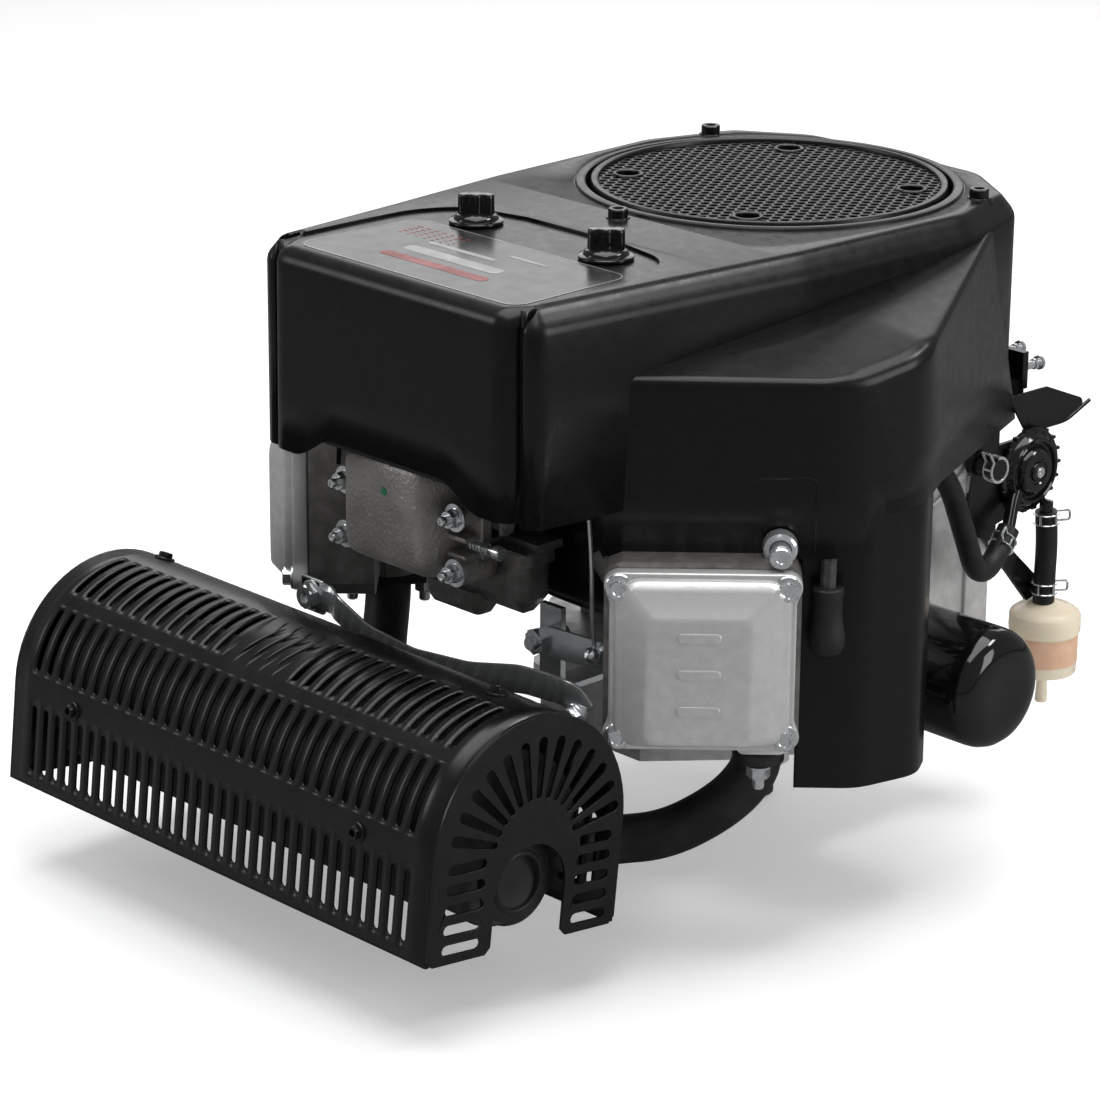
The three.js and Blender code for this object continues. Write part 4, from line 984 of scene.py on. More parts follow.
def build_guard(shape):
    piece("guard_sheet", [guard_sheet(shape)], "black_metal", stands_for="silencer_guard", wall=GUARD_METAL,
          merge=0.02, sharp=40)
    ends = []
    for x, cut_out in ((GUARD_X[1], True), (GUARD_X[0] + GUARD_METAL, False)):
        outline, holes = guard_end(cut_out)
        verts, faces = plate(outline, holes, 0, GUARD_METAL)
        local = np.column_stack([x - GUARD_METAL + verts[:, 2], verts[:, 0], verts[:, 1]])
        ends.append((guard_place(local), faces))
    piece("guard_ends", ends, "black_metal", bevel=0.35, sharp=40)
    leg = GUARD_H - GUARD_R
    a = np.linspace(0, math.pi, 49)
    seams = []
    for x, reach in ((GUARD_X[1], -1), (GUARD_X[0], 1)):
        line = np.vstack([[(0, 0)], np.column_stack([GUARD_R - GUARD_R * np.cos(a),
                                                     leg + GUARD_R * np.sin(a)]),
                          [(2 * GUARD_R, 0)]])
        middle = np.array([GUARD_R, leg * 0.8])
        drop = (middle - line) / np.linalg.norm(middle - line, axis=1)[:, None]
        rows = []
        for b in np.linspace(0, math.pi / 2, 5):
            inset, back = 2.2 * (1 - math.sin(b)), 2.2 * (1 - math.cos(b))
            rows.append(np.column_stack([np.full(len(line), x + reach * inset), line + drop * back]))
        rows.append(np.column_stack([np.full(len(line), x + reach * 2.4), line + drop * 2.4]))
        verts, faces = grid(np.stack(rows), False)
        seams.append((guard_place(verts), faces))
    piece("guard_bends", seams, "black_metal", sharp=60, recalc=False)
    bolts = []
    for x, s in ((-178, 59), (82, 61), (-212, 198), (104, 184)):
        here = guard_skin(np.array([x]), np.array([s]))[0]
        ahead = guard_skin(np.array([x]), np.array([s + 1.0]))[0] - here
        ahead /= np.linalg.norm(ahead)
        out = np.cross([1.0, 0, 0], ahead)
        head = hexagon_head(8.0, 0, 4.2, 6.4, 2.2)
        bolts.append(placed(head, here, (1, 0, 0), ahead, out))
    piece("guard_bolts", bolts, "black_metal", sharp=30)
    rib = []
    for k in range(4):
        x0 = -62 + 10.5 * k
        s = np.linspace(134, 163, 12)
        path = guard_skin(np.full(12, x0) + (s - 134) * 0.25, s, -0.2)
        rib.append(swept(path, circle(0.9, 8), scale=np.interp(np.arange(12), [0, 2, 9, 11],
                                                               [0.3, 1, 1, 0.3])))
    piece("guard_ribs", rib, "black_metal")


def build_silencer():
    """A turned canister along X with a rolled seam at each end, its inlet box and its outlet ring."""
    centre = guard_place(np.array([0, 66, GUARD_H - GUARD_R - 2.0]))
    x0, x1 = GUARD_X[0] + 15, GUARD_X[1] - 11
    body = turned([(0, x0 + 6), (30, x0 + 5), (44, x0 + 2), (50.4, x0), (51.8, x0 + 1.2), (51.4, x0 + 4),
                   (50.2, x0 + 6), (50.2, x1 - 6), (51.4, x1 - 4), (51.8, x1 - 1.2), (50.4, x1),
                   (44, x1 - 2), (30, x1 - 5), (0, x1 - 6)], 64)
    body = along_x(body, 0, centre[1], centre[2])
    box = soft_block(rectangle(-46, 62, 172, 44), 12, 22, 60, 5, 6)
    box = (guard_place(box[0]), box[1])
    mouth = guard_place(np.array([0, 76.5, 34.0]))
    collar = along_x(turned([(27, x1 - 40), (27, x1 - 3), (26, x1 - 1), (24, x1), (19.5, x1),
                             (18.4, x1 + 1.2), (17.0, x1 + 1.6), (16.2, x1 + 0.8), (15.8, x1 - 2),
                             (15.8, x1 - 34), (0, x1 - 34)], 40),
                     0, mouth[1], mouth[2])
    piece("silencer_body", [body, box, collar], "exhaust_black", stands_for="silencer", sharp=34)


# ---- Covers, heads and exhaust ----------------------------------------------------------------------
# How far the valve covers' middle lies across from the cylinder's axis, and where their bolts stand.
COVER_ACROSS = 41.5
BOLT_X, BOLT_LOW, BOLT_HIGH = 47.6, -51.4, 38.4


def ear_outline(half_x, low, high, ear, dip):
    """The flange's plan: straight sides set in by `dip` between a round ear at each corner."""
    base = rounded([(-half_x + dip, low + dip), (half_x - dip, low + dip), (half_x - dip, high - dip),
                    (-half_x + dip, high - dip)], 6, 0, 5)
    base = resample(base, 1.6, True)
    centre = np.array([0, (low + high) / 2])
    angle = np.arctan2(base[:, 1] - centre[1], base[:, 0])
    ears = np.array([(BOLT_X, BOLT_HIGH), (-BOLT_X, BOLT_HIGH), (-BOLT_X, BOLT_LOW), (BOLT_X, BOLT_LOW)])
    direction = np.column_stack([np.cos(angle), np.sin(angle)])
    reach = np.linalg.norm(base - centre, axis=1)
    for e in ears:
        off = e - centre
        along = direction @ off
        miss2 = (off @ off) - along ** 2
        hit = np.where(miss2 < ear ** 2, along + np.sqrt(np.maximum(ear ** 2 - miss2, 0)), 0)
        reach = np.maximum(reach, hit)
    blur = reach.copy()
    for _ in range(2):
        blur = (np.roll(blur, 1) + 2 * blur + np.roll(blur, -1)) / 4
    return centre + direction * blur[:, None]


def scaled_ring(ring, centre, gap):
    off = ring - centre
    length = np.linalg.norm(off, axis=1)[:, None]
    return centre + off * (1 - gap / length)


def build_valve_cover(name):
    """A flange with bolt ears, a rounded step, and a dome whose face is cut back by broad chamfers on
    three sides."""
    side = SIDES[name]
    finish = "bright_casting"
    ring = ear_outline(55.5, -62.5, 49.5, 8.6, 2.6)
    centre = np.array([0, -6.5])
    base, lip = 280.3, 289.5
    levels = [(0.8, base), (0, base + 0.8), (0, lip - 1.2), (0.4, lip - 0.4), (1.2, lip), (2.6, lip)]
    flange = lofted([scaled_ring(ring, centre, g) for g, _ in levels], [h for _, h in levels])
    pinch = lambda inset: rounded([(-50.5, -57), (50.5, -57), (50.5, 44), (-50.5, 44)], 15, inset, 8)
    face = lambda left, right, top, foot: rounded([(-right, foot), (left, foot), (left, top), (-right, top)],
                                                  6, 0, 8)
    dome_rings = [pinch(0), pinch(0.3), pinch(1.0), pinch(2.4), face(45.5, 45, 40.5, -53.5),
                  face(44.6, 44, 38, -53), face(33, 29, 26, -51.5), face(31.5, 27.5, 24.5, -50.5),
                  face(29.5, 25.5, 22.5, -48.5)]
    heights = [lip - 1, lip + 3.0, lip + 4.6, lip + 5.6, lip + 6.6, lip + 7.4, 304.4, 305.2, 305.5]
    if name == "left":
        dome_rings = [r * [-1, 1] for r in dome_rings]
        dome = lofted([r[::-1] for r in dome_rings], heights)
    else:
        dome = lofted(dome_rings, heights)
    shapes = [flange, dome]
    local = [side.put(s, 0, COVER_ACROSS, 0) for s in shapes]
    ribs = []
    for k in range(3):
        v = 14 - 22 * k
        rib = moulded(rectangle(0, v, 12.5, 3.0), 2.8, [(0, 305.0), (0, 305.9), (0.5, 306.3), (1.2, 306.4)],
                      5)
        ribs.append(side.put(rib, 0, COVER_ACROSS + 2 * side.hand, 0))
    piece(f"valve_cover_casting_{name}", local + ribs, finish, stands_for=f"valve_cover_{name}",
          sharp=46)
    bolts = []
    for u in (-BOLT_X, BOLT_X):
        for v in (BOLT_LOW, BOLT_HIGH):
            bolts.append(side.put(hexagon_head(10.5, lip, lip + 6.6, 8.0), 0, COVER_ACROSS + u, v))
    piece(f"valve_cover_bolts_{name}", bolts, "zinc", sharp=28)
    seal = lofted([scaled_ring(ring, centre, 1.2)] * 2, [279.0, 280.5])
    piece(f"valve_cover_seal_{name}", [side.put(seal, 0, COVER_ACROSS, 0)], "gasket")


def build_rocker_box(name):
    """The head's rocker box with a rounded outline, and the web below it."""
    side = SIDES[name]
    ring = ear_outline(54.5, -61.5, 48.5, 8.0, 2.6)
    centre = np.array([0, -6.5])
    box = lofted([scaled_ring(ring, centre, g) for g in (3, 0.4, 0, 0, 0.6)], [243, 246, 248, 278.4, 279.2])
    shapes = [side.put(box, 0, COVER_ACROSS, 0)]
    foot = soft_block(rectangle(0, -61, 15, 7), 5, 244, 276, 2, 5)
    shapes.append(side.put(foot, 0, 6, 0))
    piece(f"rocker_box_{name}", shapes, "case_casting", sharp=40)


def build_exhaust(name):
    """The pipe from the head, bent down and in under the engine, with its oval flange, studs and nuts."""
    side = SIDES[name]
    s = side.hand
    head = side.at(236, 7, 0)
    z = side.centre[2]
    low = 0 if s > 0 else 12
    path = [(head[0], head[1], z - 74), (head[0], head[1], z - 92),
            (head[0] - s * 10, head[1] - 14, 48 + low),
            (head[0] - s * 36, head[1] - 38, 26 + low / 2), (head[0] - s * 62, head[1] - 62, 22),
            (head[0] - s * 80, -286, 22), (head[0] - s * 84, -297, 22)]
    line = resample(bent(path, 22, 9), 4)
    pipe = tube(line, 14.5, 32)
    flange = moulded(rectangle(236, 7, 30, 15), 13, [(1, -80), (0, -79), (0, -73.4), (1, -72.6)], 8)
    piece(f"exhaust_run_{name}", [pipe, side.standing(flange)], "exhaust_black",
          stands_for=f"exhaust_pipe_{name}", sharp=35)
    studs = []
    for u in (-23, 23):
        nut = hexagon_head(12, 0, 8, 8)
        stud = turned([(3.6, 0), (3.6, 14), (3.0, 15), (0, 15)], 18)
        for part in (nut, stud):
            studs.append(placed(part, side.at(236 + u, 7, -80), side.out, -side.across * s, -UP))
    piece(f"exhaust_nuts_{name}", studs, "zinc", sharp=28)


def build_shroud(name):
    """A folded sheet beside the cylinder, its bends rounded, carried straight up; round hole by the plug."""
    side = SIDES[name]
    low, high = place_of(f"shroud_{name}")
    face = [(245.6, -14), (245.6, -50), (223.6, -85), (204, -90)]
    plan = resample(bent(face, 9, 7), 2.0)
    heights = np.array([low[2], low[2] + 0.8, low[2] + 4, (low[2] + high[2]) / 2, high[2] - 1,
                        high[2]]) - side.centre[2]
    rows = [np.column_stack([plan, np.full(len(plan), h)]) for h in heights]
    sheet = grid(np.stack(rows), False)
    piece(f"shroud_sheet_{name}", [side.standing(sheet)], "moulding", stands_for=f"shroud_{name}",
          wall=2.4, sharp=45, recalc=False)
    eye = ring_turned([(13.2, 244.8), (16.0, 244.8), (16.0, 246.3), (15.2, 246.9), (14.2, 246.6),
                       (13.2, 245.6)], 36)
    well = turned([(13.4, 244.9), (13.4, 245.75), (0, 245.75)], 30)
    piece(f"shroud_eye_{name}", [side.put(eye, 0, -30, 0)], "moulding")
    piece(f"shroud_eye_dark_{name}", [side.put(well, 0, -30, 0)], "rubber")


def build_lead(name):
    """A plug boot, its neck, and the ribbed sleeve that runs up behind the housing."""
    side = SIDES[name]
    boot = turned([(0, -13), (5, -12.6), (8.6, -10.4), (10.6, -6.5), (11.0, -2), (10.4, 3), (9.4, 7),
                   (9.0, 10), (9.0, 24), (9.4, 24.6), (9.4, 28.5), (8.6, 29.4), (0, 29.4)], 32)
    here = side.at(258, -30, 0)
    nose = turned([(8.6, -14), (8.6, -2), (7, 4), (0, 5)], 24)
    shapes = [placed(boot, here), side.put(nose, 254, -30, 0)]
    piece(f"plug_boot_{name}", shapes, "rubber", stands_for=f"spark_lead_{name}", sharp=40)
    route = [side.at(258, -30, 28), side.at(255, -30.5, 44), side.at(253, -31, 60), side.at(250, -31.5, 78),
             side.at(238, -32, 94)]
    line = resample(bent(np.array(route), 9, 7), 0.9)
    a = arc_angles(28)
    ribs = 4.4 + 0.28 * np.sign(np.sin(7 * a))
    section = np.column_stack([ribs * np.cos(a), ribs * np.sin(a)])
    piece(f"plug_lead_{name}", [swept(line[::3], section)], "braid", sharp=60)


# ---- Induction --------------------------------------------------------------------------------------
CARB_X, CARB_Z = -33.0, 201.0


def stud_nut(x, y, z, reach=12.0, across=10.0):
    """A washer, a nut and the stud's end, pointing to the front."""
    washer = turned([(across * 0.85, 0), (across * 0.85, 1.0), (0, 1.0)], 24)
    nut = hexagon_head(across, 1, 7, across * 0.58)
    end = turned([(3.0, 5), (3.0, reach - 1), (2.4, reach), (1.6, reach), (1.5, reach - 0.8),
                  (0, reach - 0.8)], 18)
    return [along_y(s, x, y, z) for s in (washer, nut, end)]


def build_intake():
    """The cast elbow: a block with broad rounded edges, its open seat, flange, ears, ribs, studs and
    nuts."""
    block = []
    for t, x0, x1, z0, z1 in ((0.0, -72, 6, 168, 239), (0.35, -72, 5.6, 168.6, 239),
                              (0.75, -70.6, 3.6, 171, 238.4),
                              (0.93, -68.4, 0.8, 174, 237.2), (1.0, -65, -3, 178, 235)):
        block.append((rounded([(x0, z0), (x1, z0), (x1, z1), (x0, z1)], 9, 0, 6), 262 + 28 * t))
    body = lofted([r for r, _ in block], [h for _, h in block])
    body = along_y(body)
    foot = rectangle(CARB_X, CARB_Z - 6, 56, 27)
    seat = plate(rounded(foot, 9, 0, 5), [circle(15.5, 32, CARB_X, CARB_Z)], 255.6, 260.0)
    shapes = [body, along_y(seat), along_y(soft_block(foot, 9, 259.6, 262.4, 1.2, 5))]
    for x, z, r in ((-80, 178, 8.2), (-80, 212, 8.2), (17, 178, 8.2), (17, 212, 6.2)):
        ear = turned([(r, 256), (r, 276), (r - 0.6, 277.4), (r - 1.6, 278), (0, 278)], 28)
        shapes.append(along_y(ear, x, 0, z))
    for z in (175, 186, 197):
        rib = soft_block(rectangle(13, z, 8, 1.6), 1.2, 258, 274, 1.0, 4)
        shapes.append(along_y(rib))
    piece("elbow_casting", shapes, "hammered", stands_for="intake_elbow", sharp=40)
    hardware = []
    for x in (-80, 17):
        for z in (178, 212):
            hardware += stud_nut(x, -278, z)
    piece("elbow_nuts", hardware, "zinc", sharp=28)
    dab = turned([(2.6, 0), (2.2, 0.5), (0, 0.7)], 14)
    dabs = [along_y(dab, -32, -290.0, 219)]
    piece("inspection_marks", dabs, "green_mark")


def build_shade_sheet():
    """The black sheet behind the carburettor that closes the space under the housing."""
    outline = [(8, 156), (30, 152), (84, 151), (101, 170), (101, 234), (8, 234)]
    sheet = moulded(outline, [6, 8, 6, 4, 1, 1], [(0.3, 212.9), (0, 213.2), (0, 213.8), (0.3, 214.1)], 5)
    lip = tube(resample(bent([(8.5, -213.5, 160), (30, -213.5, 153), (84, -213.5, 152), (100.4, -213.5, 170),
                              (100.4, -213.5, 230)], 8, 7), 3), 1.2, 10)
    # painted shade: this black sheet and its lip stand in for the shade under the housing
    piece("painted_shade_sheet", [along_y(sheet), lip], "edge_gloss", sharp=40)


def build_bowl():
    """The float bowl: an oval rim, a straight wall and a chamfered base, with its drain and fixing
    screws."""
    rim = [(2, 179.2), (0, 180), (0, 187.0), (0.6, 187.6), (3, 187.6)]
    wall = [(10, 147), (8.4, 147.6), (1.2, 156.4), (0, 158), (0, 180)]
    cup = [(5.6, 136.3), (4.4, 136.8), (0.6, 142.6), (0, 144), (0, 152)]
    shapes = [moulded(rectangle(-6, -234.6, 51.8, 14.6), 9, rim, 6),
              moulded(rectangle(-7, -234.6, 49, 13), 9, wall, 6),
              moulded(rectangle(-24, -234.6, 25, 11), 8, cup, 6)]
    piece("bowl_casting", shapes, "dark_casting", stands_for="float_bowl", sharp=36)
    screws = [placed(hexagon_head(7.5, 0, 4.5, 5.2), (x, -245.0, 183.6), (1, 0, 0), (0, 0, 1), (0, -1, 0))
              for x in (-44, 2)]
    spring = []
    t = np.linspace(0, 12 * math.pi, 150)
    coil = np.column_stack([14 + t * 0.42, -262 + 3.1 * np.cos(t), 191.3 + 3.1 * np.sin(t)])
    spring.append(swept(coil, circle(0.55, 6)))
    spring.append(along_x(turned([(2, 0), (2, 22), (4.4, 22.4), (4.4, 27), (3.6, 27.8), (0, 27.8)], 20), 12,
                          -262, 191.3))
    piece("carburettor_screws", screws + spring, "zinc", sharp=30)


def build_strap():
    """The bent zinc strap that carries the guard, with a turned tab and a socket bolt at each end."""
    stations = [(-128.5, -271, 128), (-101, -271, 128), (-93, -277, 128), (-62, -277, 116), (-20, -277, 112),
                (30, -277, 117), (72, -277, 127), (103, -277, 129), (110, -271, 125), (119, -271, 117)]
    line = resample(bent(stations, 6, 7), 4)
    ribbon = band(line, 18.0, 2.0, up=np.array([0.0, 0, 1.0]))
    tabs = [along_y(soft_block(rectangle(-119, 127, 11, 11), 2.5, 270, 272, 0.5, 4)),
            along_y(soft_block(rectangle(112, 113, 9, 9), 2.5, 270, 272, 0.5, 4))]
    bolts = [along_y(hexagon_head(14, 0, 7, 9.5, 3.4), -119, -272, 127),
             along_y(hexagon_head(13, 0, 7, 8.5, 3.2), 112, -272, 113)]
    piece("strap_band", [ribbon] + tabs, "zinc", stands_for="guard_strap", sharp=35)
    piece("strap_bolts", bolts, "zinc", sharp=28)


# ---- Oil filter, fuel system and back ------------------------------------------------------------------
def build_oil_filter():
    """A gloss can turned about X: seamed base, straight wall, and a shouldered dome with a shallow dish."""
    low, high = place_of("oil_filter")
    y, z = (low[1:] + high[1:]) / 2
    r, x0, x1 = (high[1] - low[1]) / 2, low[0], high[0]
    can = turned([(r - 4, x0), (r - 0.6, x0), (r, x0 + 1), (r, x0 + 3.4), (r - 0.9, x0 + 4.4),
                  (r - 1.2, x0 + 7), (r - 0.6, x0 + 9), (r - 0.6, x1 - 17), (r - 1.0, x1 - 12),
                  (r - 2.6, x1 - 7.4), (r - 5.4, x1 - 3.8),
                  (r - 9.4, x1 - 1.4), (r - 14, x1 - 0.3), (r - 18, x1), (r - 23, x1 - 0.4), (8, x1 - 0.9),
                  (0, x1 - 1.0)], 72)
    piece("filter_can", [along_x(can, 0, y, z)], "gloss_black", stands_for="oil_filter",
          sharp=50)


def clamp(centre, axis, radius, tab=(1, 0, 0)):
    """A sprung hose clamp: a narrow band round the hose with two raised ears and a loop tab."""
    axis = np.asarray(axis, float) / np.linalg.norm(axis)
    tab = np.asarray(tab, float) - axis * (np.asarray(tab, float) @ axis)
    tab /= np.linalg.norm(tab)
    third = np.cross(axis, tab)
    a = np.linspace(0.35, 2 * math.pi - 0.35, 34)
    ring = centre + radius * (np.cos(a)[:, None] * tab + np.sin(a)[:, None] * third)
    shapes = []
    for lift in (-3.2, 3.2):
        shapes.append(swept(ring + axis * lift, rounded(rectangle(0, 0, 0.9, 0.45), 0.3, 0, 2), up=axis))
    corners = ((-0.5, -3.2), (8, -3.2), (8, 3.2), (-0.5, 3.2))
    loop = [centre + tab * (radius + d) + axis * h + third * 2.2 for d, h in corners]
    shapes.append(swept(resample(bent(np.array(loop), 1.6, 5), 1.2), circle(0.85, 8)))
    for k in (0.9, 2.2, 4.0, 5.3):
        bridge = centre + (radius + 0.2) * (math.cos(k) * tab + math.sin(k) * third)
        rung = np.array([bridge - axis * 3.2, bridge, bridge + axis * 3.2])
        shapes.append(swept(rung, circle(0.7, 6)))
    return shapes


def build_fuel():
    """Pump with pressed rings and hub, hoses with their clamps, and the clear filter."""
    y, z = 111.0, 182.0
    x0 = 123.4
    disc = turned([(24, x0), (26.6, x0 + 0.4), (27, x0 + 1.4), (27, x0 + 3.0), (26.2, x0 + 3.8),
                   (24.2, x0 + 4.0), (23.2, x0 + 5.6), (21.6, x0 + 7.6), (20.4, x0 + 8.0), (19.2, x0 + 7.4),
                   (18.2, x0 + 5.2), (16.8, x0 + 4.8),
                   (15.6, x0 + 5.6), (14.4, x0 + 8.6), (13.0, x0 + 10.0), (8.6, x0 + 10.2), (7.8, x0 + 9.2),
                   (6.6, x0 + 9.2), (6.0, x0 + 10.6), (0, x0 + 10.6)], 64)
    teeth = [along_x(soft_block(rectangle(0, 0, 2.4, 1.1), 0.6, 0.2, 4.4, 0.5, 3), x0,
                     y + 26.4 * math.cos(t), z + 26.4 * math.sin(t))
             for t in np.radians(np.arange(0, 360, 20))]
    spigot = tube(resample(bent([(128, 96, 171), (130, 91, 165), (136, 80, 150)], 4, 5), 2), 4.2, 18)
    up = placed(turned([(4.4, 0), (4.4, 12), (0, 12)], 18), (132, 122, 148))
    piece("pump_body", [along_x(disc, 0, y, z), spigot, up] + teeth, "gloss_black", stands_for="fuel_pump",
          sharp=30)
    hub = along_x(turned([(3.4, 0), (3.4, 1.6), (2.6, 2.2), (1.6, 2.2), (1.4, 1.2), (0, 1.2)], 24),
                  x0 + 10.4, y, z)
    piece("pump_hub", [hub], "zinc", sharp=30)
    route = [(135.8, 81, 152), (138, 70, 141), (142, 54, 132), (144, 40, 136), (144, 30, 160),
             (142, 16, 196), (137, -6, 226)]
    line = resample(bent(route, 12, 9), 3)
    piece("delivery_hose", [tube(line, 7.0, 24)], "rubber", stands_for="fuel_hose_delivery",
          sharp=50)
    supply = resample(bent([(132, 123.6, 92), (132, 123.8, 112), (132, 124.4, 132), (132, 122, 153.4)], 14,
                           7), 3)
    piece("supply_hose", [tube(supply, 7.0, 24)], "rubber", stands_for="fuel_hose_supply",
          sharp=50)
    clamps = []
    clamps += clamp(np.array([132, 122.6, 149.0]), (0, -0.05, 1), 7.7, (0.6, 0.8, 0))
    clamps += clamp(np.array([132, 123.7, 102.0]), (0, 0, 1), 7.7, (0.6, 0.8, 0))
    clamps += clamp(np.array([137.2, 74.0, 144.6]), (-0.2, 0.78, 0.62), 7.7, (0.3, -0.5, 0.8))
    clamps += clamp(np.array([139.0, 62.0, 196.0]), (1, 0, 0), 7.7, (0, -0.5, 0.85))
    piece("hose_clamps", clamps, "zinc", sharp=40)
    fx, fy = 132.0, 126.0
    shell = turned([(3.6, 24), (4.0, 25), (3.4, 38), (4.2, 40), (12, 42.5), (20.4, 45.5), (21.4, 47),
                    (21.4, 70), (21.6, 72.5), (22.8, 73.4), (23.0, 76), (22.8, 84), (22.0, 85.6), (18, 88.6),
                    (9, 91.8), (6.0, 93), (5.6, 99), (0, 100)], 48)
    piece("filter_shell", [placed(shell, (fx, fy, 0))], "cream_plastic", stands_for="fuel_filter",
          sharp=36)
    sleeve = turned([(21.55, 53), (21.75, 53.6), (21.75, 71), (21.55, 71.6), (0, 71.6)], 48)
    piece("filter_sleeve", [placed(sleeve, (fx, fy, 0))], "filter_element", sharp=50)


def build_flap():
    """A bent deflector with a rolled outer lip."""
    outline = [(92, 232), (110, 206), (150, 205), (172.5, 214), (130, 231.5)]
    sheet = moulded(outline, [2, 4, 5, 4, 6], [(0.3, 120.4), (0, 120.8), (0, 121.9), (0.3, 122.3)], 5)
    shape = placed(sheet, (0, 0, 0), (0, 1, 0), (0, 0, 1), (1, 0, 0))
    lip = tube(resample(bent([(122, 111, 205.6), (122, 150, 205.2), (122, 172.6, 214)], 6, 7), 3), 1.3, 12)
    piece("flap_sheet", [shape, lip], "black_metal", stands_for="heat_flap", sharp=35)


def build_regulator():
    """Studs and a nut standing out behind the regulator block."""
    back = place_of("regulator")[1][1]
    shapes = []
    for dx in (-8, 8):
        pin = turned([(2.6, 0), (2.6, 10), (3.4, 10.3), (3.4, 12.4), (2.6, 12.7), (2.6, 15), (4.6, 15.4),
                      (4.6, 17.4), (0, 17.6)], 22)
        shapes.append(along_y(pin, 96 + dx, back - 1, 244 - dx * 0.4, 1))
    piece("regulator_studs", shapes, "zinc", sharp=30)


def build_case_details():
    """Cast ribs and the split line's bolts on the case's right side, and the housing's sleeved bolt."""
    ribs = []
    for route in ([(120.4, -36, 150), (120.4, 40, 182), (120.4, 74, 206)],
                  [(120.4, 8, 100), (120.4, 8, 160)],
                  [(120.4, 60, 92), (120.4, 60, 196)]):
        path = resample(np.array(route, float), 4)
        ribs.append(swept(path, rounded(rectangle(0, 0, 2.4, 2.0), 1.1, 0, 4), up=np.array([1.0, 0, 0])))
    piece("case_ribs", ribs, "case_casting", sharp=40)
    heads = []
    for y in (-6, 26, 52, 78):
        heads.append(placed(hexagon_head(11, 0, 7, 7), (113 if y < 78 else 108, y + 4, 96.2)))
    side = SIDES["right"]
    sleeve = ring_turned([(6.2, 262.2), (10.2, 262.2), (10.2, 268), (9.6, 270.4), (8.2, 271.4),
                          (6.4, 271.4)], 32)
    bolt = turned([(5.8, 262), (6.0, 279), (6.4, 280), (6.4, 285.4), (5.6, 286.4), (3, 286.4), (2.6, 285.6),
                   (0, 285.6)], 28)
    for part in (sleeve, bolt):
        heads.append(side.put(part, 0, -2.0, 55))
    piece("case_bolts", heads, "zinc", sharp=30)


# ---- Stage ------------------------------------------------------------------------------------------
def facing(side, up, back, place):
    """The matrix of a light or camera whose own axes lie along side, up and back."""
    columns = [(*axis, 0) for axis in (side, up, back)] + [(*place, 1)]
    return Matrix(columns).transposed()


def area_light(name, place, target, size, strength, tint=(1, 1, 1)):
    light = bpy.data.lights.new(name, "AREA")
    light.shape = "RECTANGLE"
    light.size, light.size_y = size
    light.energy = strength * math.pi * size[0] * size[1]
    light.color = tint
    obj = bpy.data.objects.new(name, light)
    bpy.context.scene.collection.objects.link(obj)
    back = np.array(place, float) - np.array(target, float)
    back /= np.linalg.norm(back)
    side = np.cross([0, 0, 1.0] if abs(back[2]) < 0.95 else [0, 1.0, 0], back)
    side /= np.linalg.norm(side)
    up = np.cross(back, side)
    obj.matrix_world = facing(side, up, back, place)
    return obj


def floor_finish():
    """Pale paper that shows darker in the engine's glossy surfaces than to the eye, and a little lifted
    to the eye."""
    mat = make_finish("floor_paper", grey(0.93), grey(0.90), (0.75, 0.85), grain=3, relief=0.0, specular=0.1)
    tree = mat.node_tree
    shader = tree.nodes["Principled BSDF"]
    paths = tree.nodes.new("ShaderNodeLightPath")
    mix = tree.nodes.new("ShaderNodeMix")
    mix.data_type = "RGBA"
    mix.inputs[7].default_value = (0.22, 0.22, 0.22, 1)
    glow = tree.nodes.new("ShaderNodeMix")
    glow.data_type = "RGBA"
    glow.inputs[6].default_value = (0, 0, 0, 1)
    glow.inputs[7].default_value = (1, 1, 1, 1)
    link = tree.links.new
    link(shader.inputs["Base Color"].links[0].from_socket, mix.inputs[6])
    link(paths.outputs["Is Glossy Ray"], mix.inputs["Factor"])
    link(mix.outputs[2], shader.inputs["Base Color"])
    link(paths.outputs["Is Camera Ray"], glow.inputs["Factor"])
    link(glow.outputs[2], shader.inputs["Emission Color"])
    shader.inputs["Emission Strength"].default_value = 0.30
    return mat


